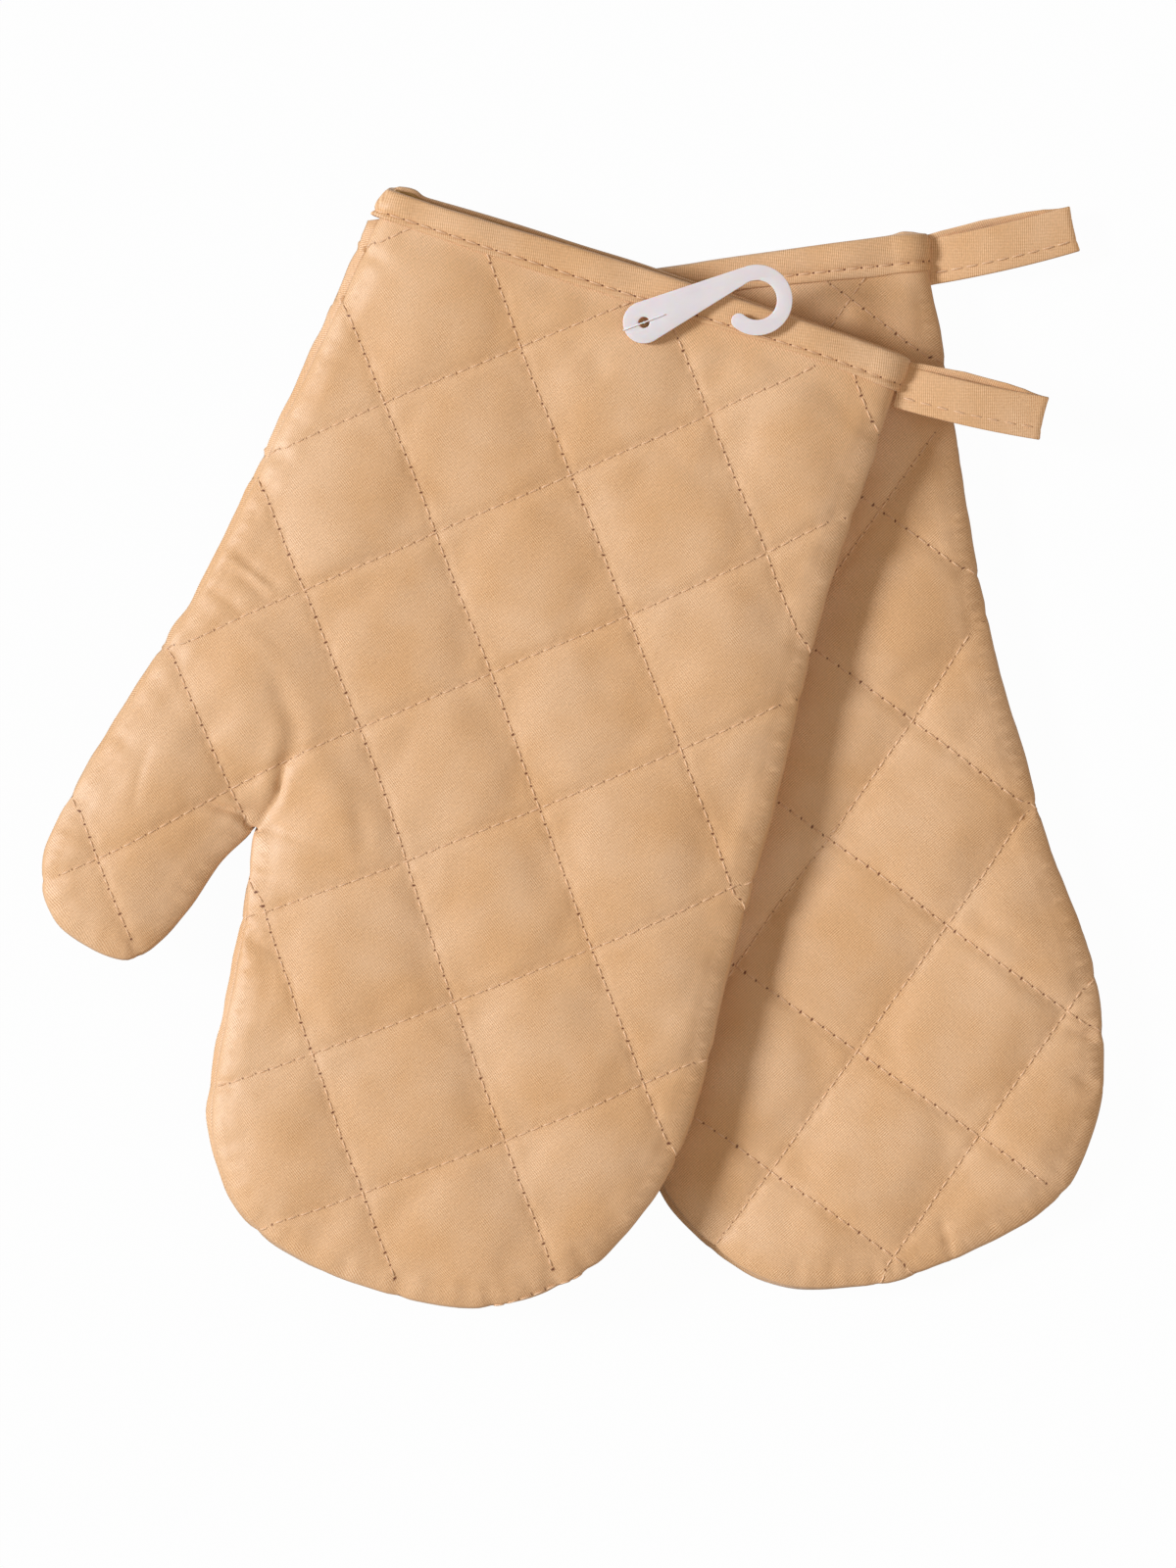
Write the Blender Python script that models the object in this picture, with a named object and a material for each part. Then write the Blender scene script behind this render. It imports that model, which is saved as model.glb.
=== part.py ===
"""A pair of quilted oven mitts lying fanned on a table, with a retail hook on a tag pin.

Blender 4.5, metres, +Z up. The origin is the centre of the pair's box, on the table.
Each mitt is built in its own axes: the origin is the tag pin, +X runs along the cuff from the
thumb side to the loop side, and +Y runs from the fingertips to the cuff.
"""

import math

import bmesh
import bpy
from mathutils import Matrix, Vector
from mathutils.bvhtree import BVHTree
from mathutils.geometry import intersect_point_line

# Mitt patterns: points as shares of the cuff's width and of the mitt's length, from the thumb side
CUFF_WIDTH = 0.1414
MITT_LENGTH = 0.2700
UPPER_OUTLINE_SHARES = (
    (0.0, 0.0), (-0.015, 0.119), (-0.074, 0.400), (-0.106, 0.480), (-0.172, 0.635), (-0.184, 0.717),
    (-0.123, 0.765), (-0.010, 0.779), (0.046, 0.764), (0.090, 0.716), (0.119, 0.661), (0.160, 0.617),
    (0.191, 0.698), (0.213, 0.773), (0.244, 0.876), (0.291, 0.927), (0.373, 0.971), (0.501, 0.992),
    (0.672, 0.994), (0.832, 0.978), (0.968, 0.927), (1.039, 0.864), (1.079, 0.783), (1.077, 0.694),
    (1.058, 0.608), (1.036, 0.434), (0.999, 0.223), (1.0, 0.0),
)
LOWER_OUTLINE_SHARES = (
    (0.0, 0.0), (-0.014, 0.119), (-0.063, 0.400), (-0.090, 0.480), (-0.143, 0.635), (-0.147, 0.717),
    (-0.081, 0.765), (0.033, 0.779), (0.088, 0.764), (0.127, 0.716), (0.150, 0.661), (0.187, 0.617),
    (0.223, 0.700), (0.255, 0.775), (0.294, 0.854), (0.360, 0.918), (0.493, 0.976), (0.678, 0.988),
    (0.789, 0.977), (0.901, 0.959), (0.995, 0.937), (1.062, 0.905), (1.127, 0.829), (1.138, 0.716),
    (1.083, 0.589), (1.060, 0.500), (1.035, 0.426), (1.013, 0.280), (1.0, 0.0),
)
CROTCH_POINT = 11
TURN_PER_STEP = math.radians(16)

# Layers of a quilted panel
OUTER_FABRIC = 0.00045
BATTING_SEWN = 0.0005
LINING_FABRIC = 0.00035
BACK_PUFF = 0.0018
PALM_PUFF = 0.0016
LAYER_GAP = 0.0003
BATTING_FILL_SHARE = 0.85
BACK_PUFF_SHARES = ((0.74, 0.72), (0.42, 1.0))
PALM_PUFF_SHARES = ((0.60, 1.0),)
PUFF_SLOPE_SHARE = 0.2

# Shape of a mitt lying flat
RIM_WIDTH = 0.0075
RIM_CAVITY = 0.0054
CROWN_CAVITY = 0.0068
CROWN_WIDTH = 0.0280
SEAM_RISE = 0.0016
SEAM_GAP = 0.0008
SEAM_INSET = 0.0015

# Quilting
QUILT_PITCH = 0.0382
QUILT_REACH = 0.4050
THREAD = 0.00035
THREAD_WIDTH = 0.0005
THREAD_GAP = 0.00015
THREAD_END = 0.0015

# Cuff binding
BINDING_WIDTH = 0.0104
BINDING_THICKNESS = 0.0005
BINDING_GAP = 0.0003
BINDING_STITCH_INSET = 0.0025
BINDING_SAMPLES = 13
BINDING_ROW_SHARES = (0.02, 0.25, 0.5, 0.75, 1.0)
ENVELOPE_SAMPLES = 12

# Hanging loop
LOOP_LENGTH = 0.0380
LOOP_WIDTH = 0.0105
LOOP_TAPE = 0.0010
LOOP_OPENING = 0.0045
LOOP_PINCH = 0.0060
LOOP_SPREAD = 0.0080
LOOP_DROP = 0.0066
LOOP_STITCH_INSET = 0.0018
LOOP_CLEARANCE = 0.0003
LOOP_FOLD_SIDES = 7

# Hook
HOOK_REACH = 0.0296
HOOK_EYE_RADIUS = 0.0054
HOOK_BEND_RADIUS = 0.0091
HOOK_BAND = 0.0040
HOOK_HOLE_RADIUS = 0.00143
HOOK_THICKNESS = 0.0010
HOOK_CLEARANCE = 0.0003
HOOK_TIP_ANGLE = math.radians(-142)
HOOK_TURN = math.radians(11.2)

# Tag pin
FILAMENT_RADIUS = 0.0003
NEEDLE_HOLE_RADIUS = 0.0006
TBAR_LENGTH = 0.0116
TBAR_RADIUS = 0.00045
TBAR_TURN = math.radians(21)
PADDLE_LENGTH = 0.0050
PADDLE_WIDTH = 0.0030
PADDLE_THICKNESS = 0.0008
PIN_CLEARANCE = 0.0003

# Shared allowances
STACK_GAP = 0.0003
CUT_OVERRUN = 0.001
CUT_TOLERANCE = 0.00003
ROUND_SIDES = 8
SMOOTH_ANGLE = math.radians(40)

# Each mitt: its turn about the pin, the pin's place on the cuff, and the quilting's turn and first lines
MITTS = {
    "lower": {
        "outline": LOWER_OUTLINE_SHARES,
        "turn": math.radians(7.07),
        "pin_across": 0.0665,
        "pin_down": 0.0141,
        "quilt_turns": (math.radians(47.75), math.radians(-42.25)),
        "quilt_offsets": (-0.0049, 0.0009),
        "loop_turn": math.radians(6.0),
    },
    "upper": {
        "outline": UPPER_OUTLINE_SHARES,
        "turn": math.radians(-19.25),
        "pin_across": 0.0740,
        "pin_down": 0.0115,
        "quilt_turns": (math.radians(40.15), math.radians(-47.95)),
        "quilt_offsets": (0.0082, -0.0099),
        "loop_turn": math.radians(8.3),
    },
}

# What each face of a panel's sheet is: the rim by the seam, the strip in the binding, or a quilt cell
RIM, STRIP, CELL = range(3)

PANEL_SEWN = OUTER_FABRIC + BATTING_SEWN + LINING_FABRIC + 2 * LAYER_GAP
PALM_LEVEL = PALM_PUFF + PANEL_SEWN
MITT_HEIGHT = PALM_LEVEL + CROWN_CAVITY + PANEL_SEWN + BACK_PUFF
SEAM_LEVEL = PALM_LEVEL + SEAM_RISE + SEAM_GAP / 2

MATERIALS = {
    "twill": ((0.74, 0.45, 0.22), 0.55, 1.0),
    "batting": ((0.86, 0.84, 0.78), 0.9, 1.0),
    "lining": ((0.78, 0.52, 0.29), 0.8, 1.0),
    "thread": ((0.80, 0.55, 0.33), 0.6, 1.0),
    "hook_plastic": ((0.86, 0.85, 0.87), 0.35, 0.9),
    "clear_nylon": ((0.90, 0.90, 0.92), 0.2, 0.6),
}


def clear_scene():
    for obj in list(bpy.data.objects):
        bpy.data.objects.remove(obj, do_unlink=True)


def make_materials():
    for name, (colour, roughness, alpha) in MATERIALS.items():
        material = bpy.data.materials.new(name)
        material.use_nodes = True
        shader = material.node_tree.nodes["Principled BSDF"]
        shader.inputs["Base Color"].default_value = (*colour, 1.0)
        shader.inputs["Roughness"].default_value = roughness
        shader.inputs["Metallic"].default_value = 0.0
        shader.inputs["Alpha"].default_value = alpha


def new_empty(name, parent, location, turn=0.0):
    empty = bpy.data.objects.new(name, None)
    bpy.context.scene.collection.objects.link(empty)
    empty.parent = parent
    empty.location = location
    empty.rotation_euler = (0.0, 0.0, turn)
    return empty


def new_object(name, bm, parent, material, smooth=False):
    """Turns a bmesh into a named object with outward normals."""
    bmesh.ops.recalc_face_normals(bm, faces=bm.faces)
    for face in bm.faces:
        face.material_index = 0
    mesh = bpy.data.meshes.new(name)
    bm.to_mesh(mesh)
    bm.free()
    mesh.materials.append(bpy.data.materials[material])
    if smooth:
        mesh.shade_smooth()
        mesh.set_sharp_from_angle(angle=SMOOTH_ANGLE)
    obj = bpy.data.objects.new(name, mesh)
    bpy.context.scene.collection.objects.link(obj)
    obj.parent = parent
    return obj


def add_boolean(obj, cutter, operation):
    modifier = obj.modifiers.new(cutter.name, "BOOLEAN")
    modifier.operation = operation
    modifier.object = cutter
    modifier.solver = "EXACT"


def hide_helper(obj):
    obj.hide_render = True
    obj.display_type = "WIRE"


def spline_point(before, start, end, after, t):
    return 0.5 * (
        2 * start + (end - before) * t + (2 * before - 5 * start + 4 * end - after) * t * t
        + (3 * start - before - 3 * end + after) * t ** 3
    )


def smooth_run(points):
    """Catmull-Rom curve through the points, with more steps where it turns."""
    run = []
    for k in range(len(points) - 1):
        start, end = points[k], points[k + 1]
        before = points[k - 1] if k else 2 * start - end
        after = points[k + 2] if k + 2 < len(points) else 2 * end - start
        turn = abs((start - before).angle_signed(end - start)) + abs((end - start).angle_signed(after - end))
        steps = max(1, round(turn / 2 / TURN_PER_STEP))
        run += [spline_point(before, start, end, after, i / steps) for i in range(steps)]
    return run + [points[-1]]


def mitt_outline(mitt):
    """The seam line from the cuff's thumb corner round to its loop corner, and its crotch's index."""
    points = [
        Vector((across * CUFF_WIDTH - mitt["pin_across"], mitt["pin_down"] - along * MITT_LENGTH))
        for across, along in mitt["outline"]
    ]
    thumb = smooth_run(points[:CROTCH_POINT + 1])
    return thumb + smooth_run(points[CROTCH_POINT:])[1:], len(thumb) - 1


def inset_line(line, distance):
    """The line moved inwards; its two ends slide along the cuff edge."""
    moved = [line[0] + Vector((distance, 0))]
    for before, point, after in zip(line, line[1:], line[2:]):
        normal = ((point - before).normalized() + (after - point).normalized()).orthogonal().normalized()
        moved.append(point + normal * distance)
    return moved + [line[-1] - Vector((distance, 0))]


def quilt_lines(mitt):
    """(normal, distance) of every quilting line that can cross the mitt."""
    count = math.ceil(QUILT_REACH / QUILT_PITCH)
    lines = []
    for angle, offset in zip(mitt["quilt_turns"], mitt["quilt_offsets"]):
        normal = Vector((math.cos(angle), math.sin(angle)))
        lines.append([(normal, offset + k * QUILT_PITCH) for k in range(-count, count + 1)])
    return lines


def seam_distance(point, outline):
    nearest = []
    for start, end in zip(outline, outline[1:]):
        foot, share = intersect_point_line(point, start, end)
        foot = start if share < 0 else end if share > 1 else Vector(foot[:2])
        nearest.append((point - foot).length)
    return min(nearest)


def cut_faces(bm, faces, point, normal):
    """Cuts some faces of a flat sheet along one line."""
    edges = {edge for face in faces for edge in face.edges}
    verts = {vert for face in faces for vert in face.verts}
    bmesh.ops.bisect_plane(
        bm, geom=[*faces, *edges, *verts], dist=CUT_TOLERANCE, plane_co=(*point, 0), plane_no=(*normal, 0))


def quilt_cells(bm):
    return [face for face in bm.faces if face.material_index == CELL]


def flat_sheet(mitt, outline, crotch):
    """A flat sheet of the panel: a rim along the seam, a strip for the binding, then the quilt's cells."""
    bm = bmesh.new()
    inner = inset_line(outline, RIM_WIDTH)
    rim = [bm.verts.new((*point, 0)) for point in outline]
    field = [bm.verts.new((*point, 0)) for point in inner]
    for k in range(len(outline) - 1):
        bm.faces.new((rim[k], rim[k + 1], field[k + 1], field[k])).material_index = RIM
    bm.faces.new(field).material_index = CELL
    strip = mitt["pin_down"] - BINDING_WIDTH - BINDING_GAP
    cut_faces(bm, quilt_cells(bm), (0, strip), (0, 1))
    under_binding = [face for face in quilt_cells(bm) if face.calc_center_median().y > strip]
    for face in under_binding:
        face.material_index = STRIP
    for side in (outline[0].x + CROWN_WIDTH, outline[-1].x - CROWN_WIDTH):
        cut_faces(bm, [face for face in bm.faces if face.material_index == STRIP], (side, 0), (1, 0))
    for family in quilt_lines(mitt):
        for normal, distance in family:
            cut_faces(bm, quilt_cells(bm), normal * distance, normal)
    corner = min(bm.verts, key=lambda vert: (vert.co.xy - inner[crotch]).length)
    along = (inner[crotch] - outline[crotch]).normalized()
    bent_cells = [face for face in corner.link_faces if face.material_index == CELL]
    cut_faces(bm, bent_cells, corner.co.xy, (-along.y, along.x))
    return bm


def raise_sheet(bm, outline, side):
    """Sets the sheet at its lining face: side 1 is the crowned back panel, -1 the flat palm panel."""
    for vert in bm.verts:
        distance = seam_distance(vert.co.xy, outline)
        if side < 0:
            rise = SEAM_RISE if distance < RIM_WIDTH / 2 else 0.0
            vert.co.z = PALM_LEVEL + rise
        elif distance < RIM_WIDTH / 2:
            vert.co.z = SEAM_LEVEL + SEAM_GAP / 2
        else:
            share = min(1.0, max(0.0, (distance - RIM_WIDTH) / (CROWN_WIDTH - RIM_WIDTH)))
            cavity = RIM_CAVITY + (CROWN_CAVITY - RIM_CAVITY) * math.sin(share * math.pi / 2)
            vert.co.z = PALM_LEVEL + cavity


def puff_height(face, puff):
    """A narrow cell holds less padding: its height follows the circle that fits round its middle."""
    middle = face.calc_center_median_weighted().xy
    corners = [vert.co.xy for vert in face.verts]
    reach = seam_distance(middle, corners + corners[:1])
    return min(puff, PUFF_SLOPE_SHARE * reach)


def puff_cells(bm, puff, shares, side):
    """Gives each quilt cell its pad: rings that draw in and rise to a flat top."""
    for face in quilt_cells(bm):
        height = puff_height(face, puff)
        centre = face.calc_center_median_weighted()
        ring = list(face.verts)
        for inward, upward in shares:
            lift = Vector((0, 0, side * height * upward))
            above = [bm.verts.new(centre + (vert.co - centre) * inward + lift) for vert in face.verts]
            for k, vert in enumerate(ring):
                after = (k + 1) % len(ring)
                bm.faces.new((vert, ring[after], above[after], above[k]))
            ring = above
        bm.faces.new(ring)
        bm.faces.remove(face)


def thickened(bm, thickness):
    """Closes a sheet into a slab: a copy of it, shifted in Z, and walls round the edge."""
    for item in bmesh.ops.extrude_face_region(bm, geom=bm.faces[:], use_keep_orig=True)["geom"]:
        if isinstance(item, bmesh.types.BMVert):
            item.co.z += thickness


def panel_layers(prefix, sheet, side, puff, shares, parent):
    """Lining, batting and outer fabric of one panel, nested from the hand outwards."""
    lining = sheet.copy()
    bmesh.ops.triangulate(lining, faces=lining.faces)
    batting = lining.copy()
    thickened(lining, side * LINING_FABRIC)
    layers = [new_object(prefix + "_lining", lining, parent, "lining")]

    bmesh.ops.translate(batting, verts=batting.verts, vec=(0, 0, side * (LINING_FABRIC + LAYER_GAP)))
    pads = sheet.copy()
    bmesh.ops.translate(
        pads, verts=pads.verts, vec=(0, 0, side * (LINING_FABRIC + LAYER_GAP + BATTING_SEWN)))
    for face in quilt_cells(pads):
        height = puff_height(face, puff) * BATTING_FILL_SHARE
        top = bmesh.ops.poke(pads, faces=[face])["verts"][0]
        top.co.z += side * height
    layers.append(new_object(prefix + "_batting", joined_shell(batting, pads), parent, "batting"))

    outer = sheet.copy()
    bmesh.ops.translate(
        outer, verts=outer.verts, vec=(0, 0, side * (PANEL_SEWN - OUTER_FABRIC)))
    puff_cells(outer, puff, shares, side)
    bmesh.ops.triangulate(outer, faces=outer.faces)
    thickened(outer, side * OUTER_FABRIC)
    layers.append(new_object(prefix + "_outer", outer, parent, "twill"))
    return layers


def joined_shell(inner, outer):
    """One closed shell from two sheets with the same edge, a wall between their edges."""
    bmesh.ops.triangulate(outer, faces=outer.faces)
    mesh = bpy.data.meshes.new("sheet")
    outer.to_mesh(mesh)
    outer.free()
    inner.from_mesh(mesh)
    bpy.data.meshes.remove(mesh)
    border = [edge for edge in inner.edges if edge.is_boundary]
    bmesh.ops.bridge_loops(inner, edges=border)
    bmesh.ops.triangulate(inner, faces=inner.faces)
    return inner


def needle_hole(obj, low, high):
    """Leaves the tag pin's hole through a layer."""
    bm = bmesh.new()
    bmesh.ops.create_cone(
        bm, cap_ends=True, segments=ROUND_SIDES, radius1=NEEDLE_HOLE_RADIUS,
        radius2=NEEDLE_HOLE_RADIUS, depth=high - low + 2 * CUT_OVERRUN,
        matrix=Matrix.Translation((0, 0, (low + high) / 2)),
    )
    cutter = new_object(obj.name + "_needle_hole", bm, obj.parent, "clear_nylon")
    hide_helper(cutter)
    add_boolean(obj, cutter, "DIFFERENCE")


def height_at(tree, x, y):
    hit = tree.ray_cast(Vector((x, y, MITT_LENGTH)), Vector((0, 0, -1)))[0]
    return hit.z if hit else None


def side_places(outline, low):
    """Where the two side seams are furthest out under the binding, whose lower fold is at low."""
    left, right = [], []
    for start, end in zip(outline, outline[1:]):
        if max(start.y, end.y) > low:
            share = min(1.0, (start.y - low) / (start.y - end.y)) if start.y > low else 0.0
            places = (start.x, (start + (end - start) * share).x) if start.y > end.y else (start.x, end.x)
            (left if start.y > end.y else right).extend(places)
    return min(left), max(right)


def mouth_loop(mitt, trees, span, offset, outwards):
    """One closed loop in (x, z) round the mouth, a clear offset outside or inside the two panels."""
    choose = {"back": max, "palm": min} if outwards else {"back": min, "palm": max}
    rows = [mitt["pin_down"] - BINDING_WIDTH * share for share in BINDING_ROW_SHARES]
    middle, half = (span[0] + span[1]) / 2, (span[1] - span[0]) / 2
    steps = BINDING_SAMPLES - 1
    places = [middle - half * math.cos(math.pi * k / steps) for k in range(BINDING_SAMPLES)]
    sides = {}
    for panel, sign in (("back", 1), ("palm", -1)):
        sides[panel] = []
        for k, x in enumerate(places):
            before, after = places[max(k - 1, 0)], places[min(k + 1, steps)]
            around = [before + (after - before) * i / ENVELOPE_SAMPLES for i in range(ENVELOPE_SAMPLES + 1)]
            heights = [height_at(trees[panel], place, row) for place in around for row in rows]
            height = choose[panel](height for height in heights if height is not None)
            sides[panel].append((x, height + sign * offset))
    return sides["back"] + sides["palm"][::-1]


def grown_loop(loop, amount):
    """The mouth loop moved outwards: its sides aside, its top and bottom runs up and down."""
    count = len(loop)
    half = count // 2
    moved = []
    for k, (x, z) in enumerate(loop):
        aside = -amount if k in (0, count - 1) else amount if k in (half - 1, half) else 0.0
        moved.append((x + aside, z + (amount if k < half else -amount)))
    return moved


def ring_body(bm, places):
    """A closed ring from its loops in (x, z), each set at a y."""
    rings = [[bm.verts.new((x, y, z)) for x, z in loop] for loop, y in places]
    for ring, other in zip(rings, rings[1:] + rings[:1]):
        for k in range(len(ring)):
            after = (k + 1) % len(ring)
            bm.faces.new((ring[k], ring[after], other[after], other[k]))
    bmesh.ops.triangulate(bm, faces=bm.faces)


def cuff_binding(prefix, mitt, trees, outline, parent):
    """Folded tape over the mouth's edge: an outer leg, the fold and an inner leg, in one ring."""
    low = mitt["pin_down"] - BINDING_WIDTH
    edge = mitt["pin_down"] + BINDING_GAP
    fold = edge + BINDING_THICKNESS
    left, right = side_places(outline, low)
    outer_face = mouth_loop(
        mitt, trees, (left - BINDING_GAP, right + BINDING_GAP), PANEL_SEWN + BINDING_GAP, outwards=True)
    outer = grown_loop(outer_face, BINDING_THICKNESS)
    inner_face = mouth_loop(
        mitt, trees, (outline[0].x + RIM_WIDTH, outline[-1].x - RIM_WIDTH), -BINDING_GAP, outwards=False)
    inner = grown_loop(inner_face, -BINDING_THICKNESS)
    bm = bmesh.new()
    ring_body(bm, (
        (outer, low), (outer, fold), (inner, fold), (inner, low),
        (inner_face, low), (inner_face, edge), (outer_face, edge), (outer_face, low),
    ))
    new_object(prefix + "_cuff_binding", bm, parent, "twill")

    row = low + BINDING_STITCH_INSET
    near = grown_loop(outer, THREAD_GAP)
    far = grown_loop(near, THREAD)
    bm = bmesh.new()
    ring_body(bm, ((near, row), (far, row), (far, row + THREAD_WIDTH), (near, row + THREAD_WIDTH)))
    new_object(prefix + "_binding_thread", bm, parent, "thread")
    return max(x for x, z in far)


def crossing(normal, distance, other, away):
    """Where two quilting lines meet."""
    across = normal.x * other.y - normal.y * other.x
    return Vector((distance * other.y - away * normal.y, away * normal.x - distance * other.x)) / across


def line_spans(normal, distance, border):
    """Where a quilting line runs inside the closed border, as pairs of places along the line."""
    along = Vector((-normal.y, normal.x))
    cuts = []
    for start, end in zip(border, border[1:] + border[:1]):
        a, b = normal.dot(start) - distance, normal.dot(end) - distance
        if (a < 0) != (b < 0):
            cuts.append(along.dot(start + (end - start) * (a / (a - b))))
    cuts.sort()
    return list(zip(cuts[::2], cuts[1::2]))


def line_crossings(families, border):
    """Each place inside the border where a line of one family crosses one of the other."""
    crossings = {}
    for i, (normal, distance) in enumerate(families[0]):
        along = Vector((-normal.y, normal.x))
        for start, end in line_spans(normal, distance, border):
            for j, (other, away) in enumerate(families[1]):
                place = crossing(normal, distance, other, away)
                if start + THREAD_END < along.dot(place) < end - THREAD_END:
                    crossings[i, j] = place
    return crossings


def quilting_thread(prefix, mitt, sheet, tree, side, outline, parent):
    """The quilting stitches of a panel as one net of thread lying in the channels."""
    low = mitt["pin_down"] - BINDING_WIDTH - 2 * BINDING_GAP
    border = [Vector((point.x, min(point.y, low))) for point in inset_line(outline, RIM_WIDTH)]
    families = quilt_lines(mitt)
    crossings = line_crossings(families, border)
    folds = [vert.co.xy for vert in sheet.verts]
    lift = side * (PANEL_SEWN + THREAD_GAP)
    half = THREAD_WIDTH / 2
    bm = bmesh.new()

    def gate(place, across):
        """The thread's two edges at a place on a line."""
        edges = (place - across * half, place + across * half)
        return [bm.verts.new((*edge, height_at(tree, *edge) + lift)) for edge in edges]

    knots = {}
    for key, place in crossings.items():
        up = families[1][0][0] * half
        knots[key] = {b: gate(place + up * b, families[0][0][0]) for b in (-1, 1)}
        bm.faces.new(knots[key][-1] + knots[key][1][::-1])

    def knot_side(key, family, forward):
        """The side of a crossing where a line of one family leaves it or arrives."""
        if family == 0:
            return knots[key][-forward]
        return [knots[key][b][(forward + 1) // 2] for b in (-1, 1)]

    for family, lines in enumerate(families):
        for index, (normal, distance) in enumerate(lines):
            along = Vector((-normal.y, normal.x))
            foot = normal * distance
            bends = sorted(
                along.dot(place) for place in folds if abs(normal.dot(place) - distance) < LAYER_GAP)
            for start, end in line_spans(normal, distance, border):
                here = sorted(
                    (along.dot(place), key) for key, place in crossings.items()
                    if key[family] == index and start < along.dot(place) < end
                )
                stops = [(start + THREAD_END - half, None), *here, (end - THREAD_END + half, None)]
                for (first, before), (last, after) in zip(stops, stops[1:]):
                    if last - first < 2 * THREAD_END or not here:
                        continue
                    gates = [knot_side(before, family, 1) if before else gate(foot + along * first, normal)]
                    for bend in bends:
                        if first + THREAD_END < bend < last - THREAD_END:
                            gates.append(gate(foot + along * bend, normal))
                    gates.append(knot_side(after, family, -1) if after else gate(foot + along * last, normal))
                    for one, other in zip(gates, gates[1:]):
                        bm.faces.new((*one, *other[::-1]))
    largest_net(bm)
    thickened(bm, side * THREAD)
    bmesh.ops.triangulate(bm, faces=bm.faces)
    new_object(prefix + "_quilting_thread", bm, parent, "thread")


def largest_net(bm):
    """Keeps the joined net and drops a short end that meets no other line."""
    left = set(bm.faces)
    groups = []
    while left:
        group, ahead = set(), [next(iter(left))]
        while ahead:
            face = ahead.pop()
            if face in left:
                left.discard(face)
                group.add(face)
                ahead += [other for edge in face.edges for other in edge.link_faces]
        groups.append(group)
    groups.sort(key=len)
    spare = [face for group in groups[:-1] for face in group]
    bmesh.ops.delete(bm, geom=spare, context="FACES")


def seam_thread(prefix, outline, parent):
    """The thread that closes the side seam, between the two panels' edges."""
    centre = inset_line(outline, SEAM_INSET)
    inner = inset_line(outline, SEAM_INSET + THREAD_WIDTH)
    bm = bmesh.new()
    low, high = SEAM_LEVEL - THREAD / 2, SEAM_LEVEL + THREAD / 2
    rows = []
    for line, level in ((centre, low), (inner, low), (inner, high), (centre, high)):
        rows.append([bm.verts.new((*point, level)) for point in line])
    for row, other in zip(rows, rows[1:] + rows[:1]):
        for k in range(len(row) - 1):
            bm.faces.new((row[k], row[k + 1], other[k + 1], other[k]))
    for k in (0, -1):
        bm.faces.new([row[k] for row in rows])
    bmesh.ops.triangulate(bm, faces=bm.faces)
    new_object(prefix + "_side_seam_thread", bm, parent, "thread")


def arc(centre, radius, start, end, steps):
    angles = [start + (end - start) * k / steps for k in range(steps + 1)]
    return [Vector((centre[0] + radius * math.cos(a), centre[1] + radius * math.sin(a))) for a in angles]


def filled_plate(outer, holes, low, high, place):
    """A plate from a closed outline with holes, from low to high; place maps (a, b, c) to a point."""
    bm = bmesh.new()
    for loop in (outer, *holes):
        verts = [bm.verts.new((*point, 0)) for point in loop]
        for a, b in zip(verts, verts[1:] + verts[:1]):
            bm.edges.new((a, b))
    bmesh.ops.triangle_fill(bm, edges=bm.edges[:], use_beauty=True, normal=(0, 0, 1))
    thickened(bm, high - low)
    for vert in bm.verts:
        vert.co = place(vert.co.x, vert.co.y, vert.co.z + low)
    return bm


def hanging_loop(prefix, mitt, x, parent):
    """A folded tape: pinched at the cuff, then open enough to hang from, with its hinge at the root."""
    root = LOOP_TAPE
    place = (x + LOOP_CLEARANCE + root, mitt["pin_down"] - LOOP_DROP, SEAM_LEVEL)
    hinge = new_empty(prefix + "_loop_hinge", parent, place, mitt["loop_turn"])
    half = LOOP_OPENING / 2
    fold = (LOOP_LENGTH - half - LOOP_TAPE, 0.0)
    inner = [Vector((LOOP_PINCH, 0.0)), Vector((LOOP_PINCH + LOOP_SPREAD, -half))]
    inner += arc(fold, half, -math.pi / 2, math.pi / 2, LOOP_FOLD_SIDES)
    inner += [Vector((LOOP_PINCH + LOOP_SPREAD, half))]
    outer = arc((0.0, 0.0), root, math.pi / 2, 3 * math.pi / 2, ROUND_SIDES // 2)
    outer += [Vector((LOOP_PINCH + LOOP_SPREAD, -half - LOOP_TAPE))]
    outer += arc(fold, half + LOOP_TAPE, -math.pi / 2, math.pi / 2, LOOP_FOLD_SIDES)
    outer += [Vector((LOOP_PINCH + LOOP_SPREAD, half + LOOP_TAPE))]
    bm = filled_plate(outer, [inner], -LOOP_WIDTH / 2, LOOP_WIDTH / 2, lambda a, b, c: Vector((a, c, b)))
    new_object(prefix + "_hanging_loop", bm, hinge, "twill")

    near, far = [], []
    for grow, line in ((THREAD_GAP, near), (THREAD_GAP + THREAD, far)):
        line += [Vector((0.0, root + grow))]
        line += [Vector((LOOP_PINCH + LOOP_SPREAD, half + LOOP_TAPE + grow))]
        line += arc(fold, half + LOOP_TAPE + grow, math.pi / 2, -math.pi / 2, LOOP_FOLD_SIDES)
        line += [Vector((LOOP_PINCH + LOOP_SPREAD, -half - LOOP_TAPE - grow))]
        line += [Vector((0.0, -root - grow))]
    row = LOOP_STITCH_INSET - LOOP_WIDTH / 2
    bm = filled_plate(near + far[::-1], [], row, row + THREAD_WIDTH, lambda a, b, c: Vector((a, c, b)))
    new_object(prefix + "_loop_thread", bm, hinge, "thread")


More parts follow.
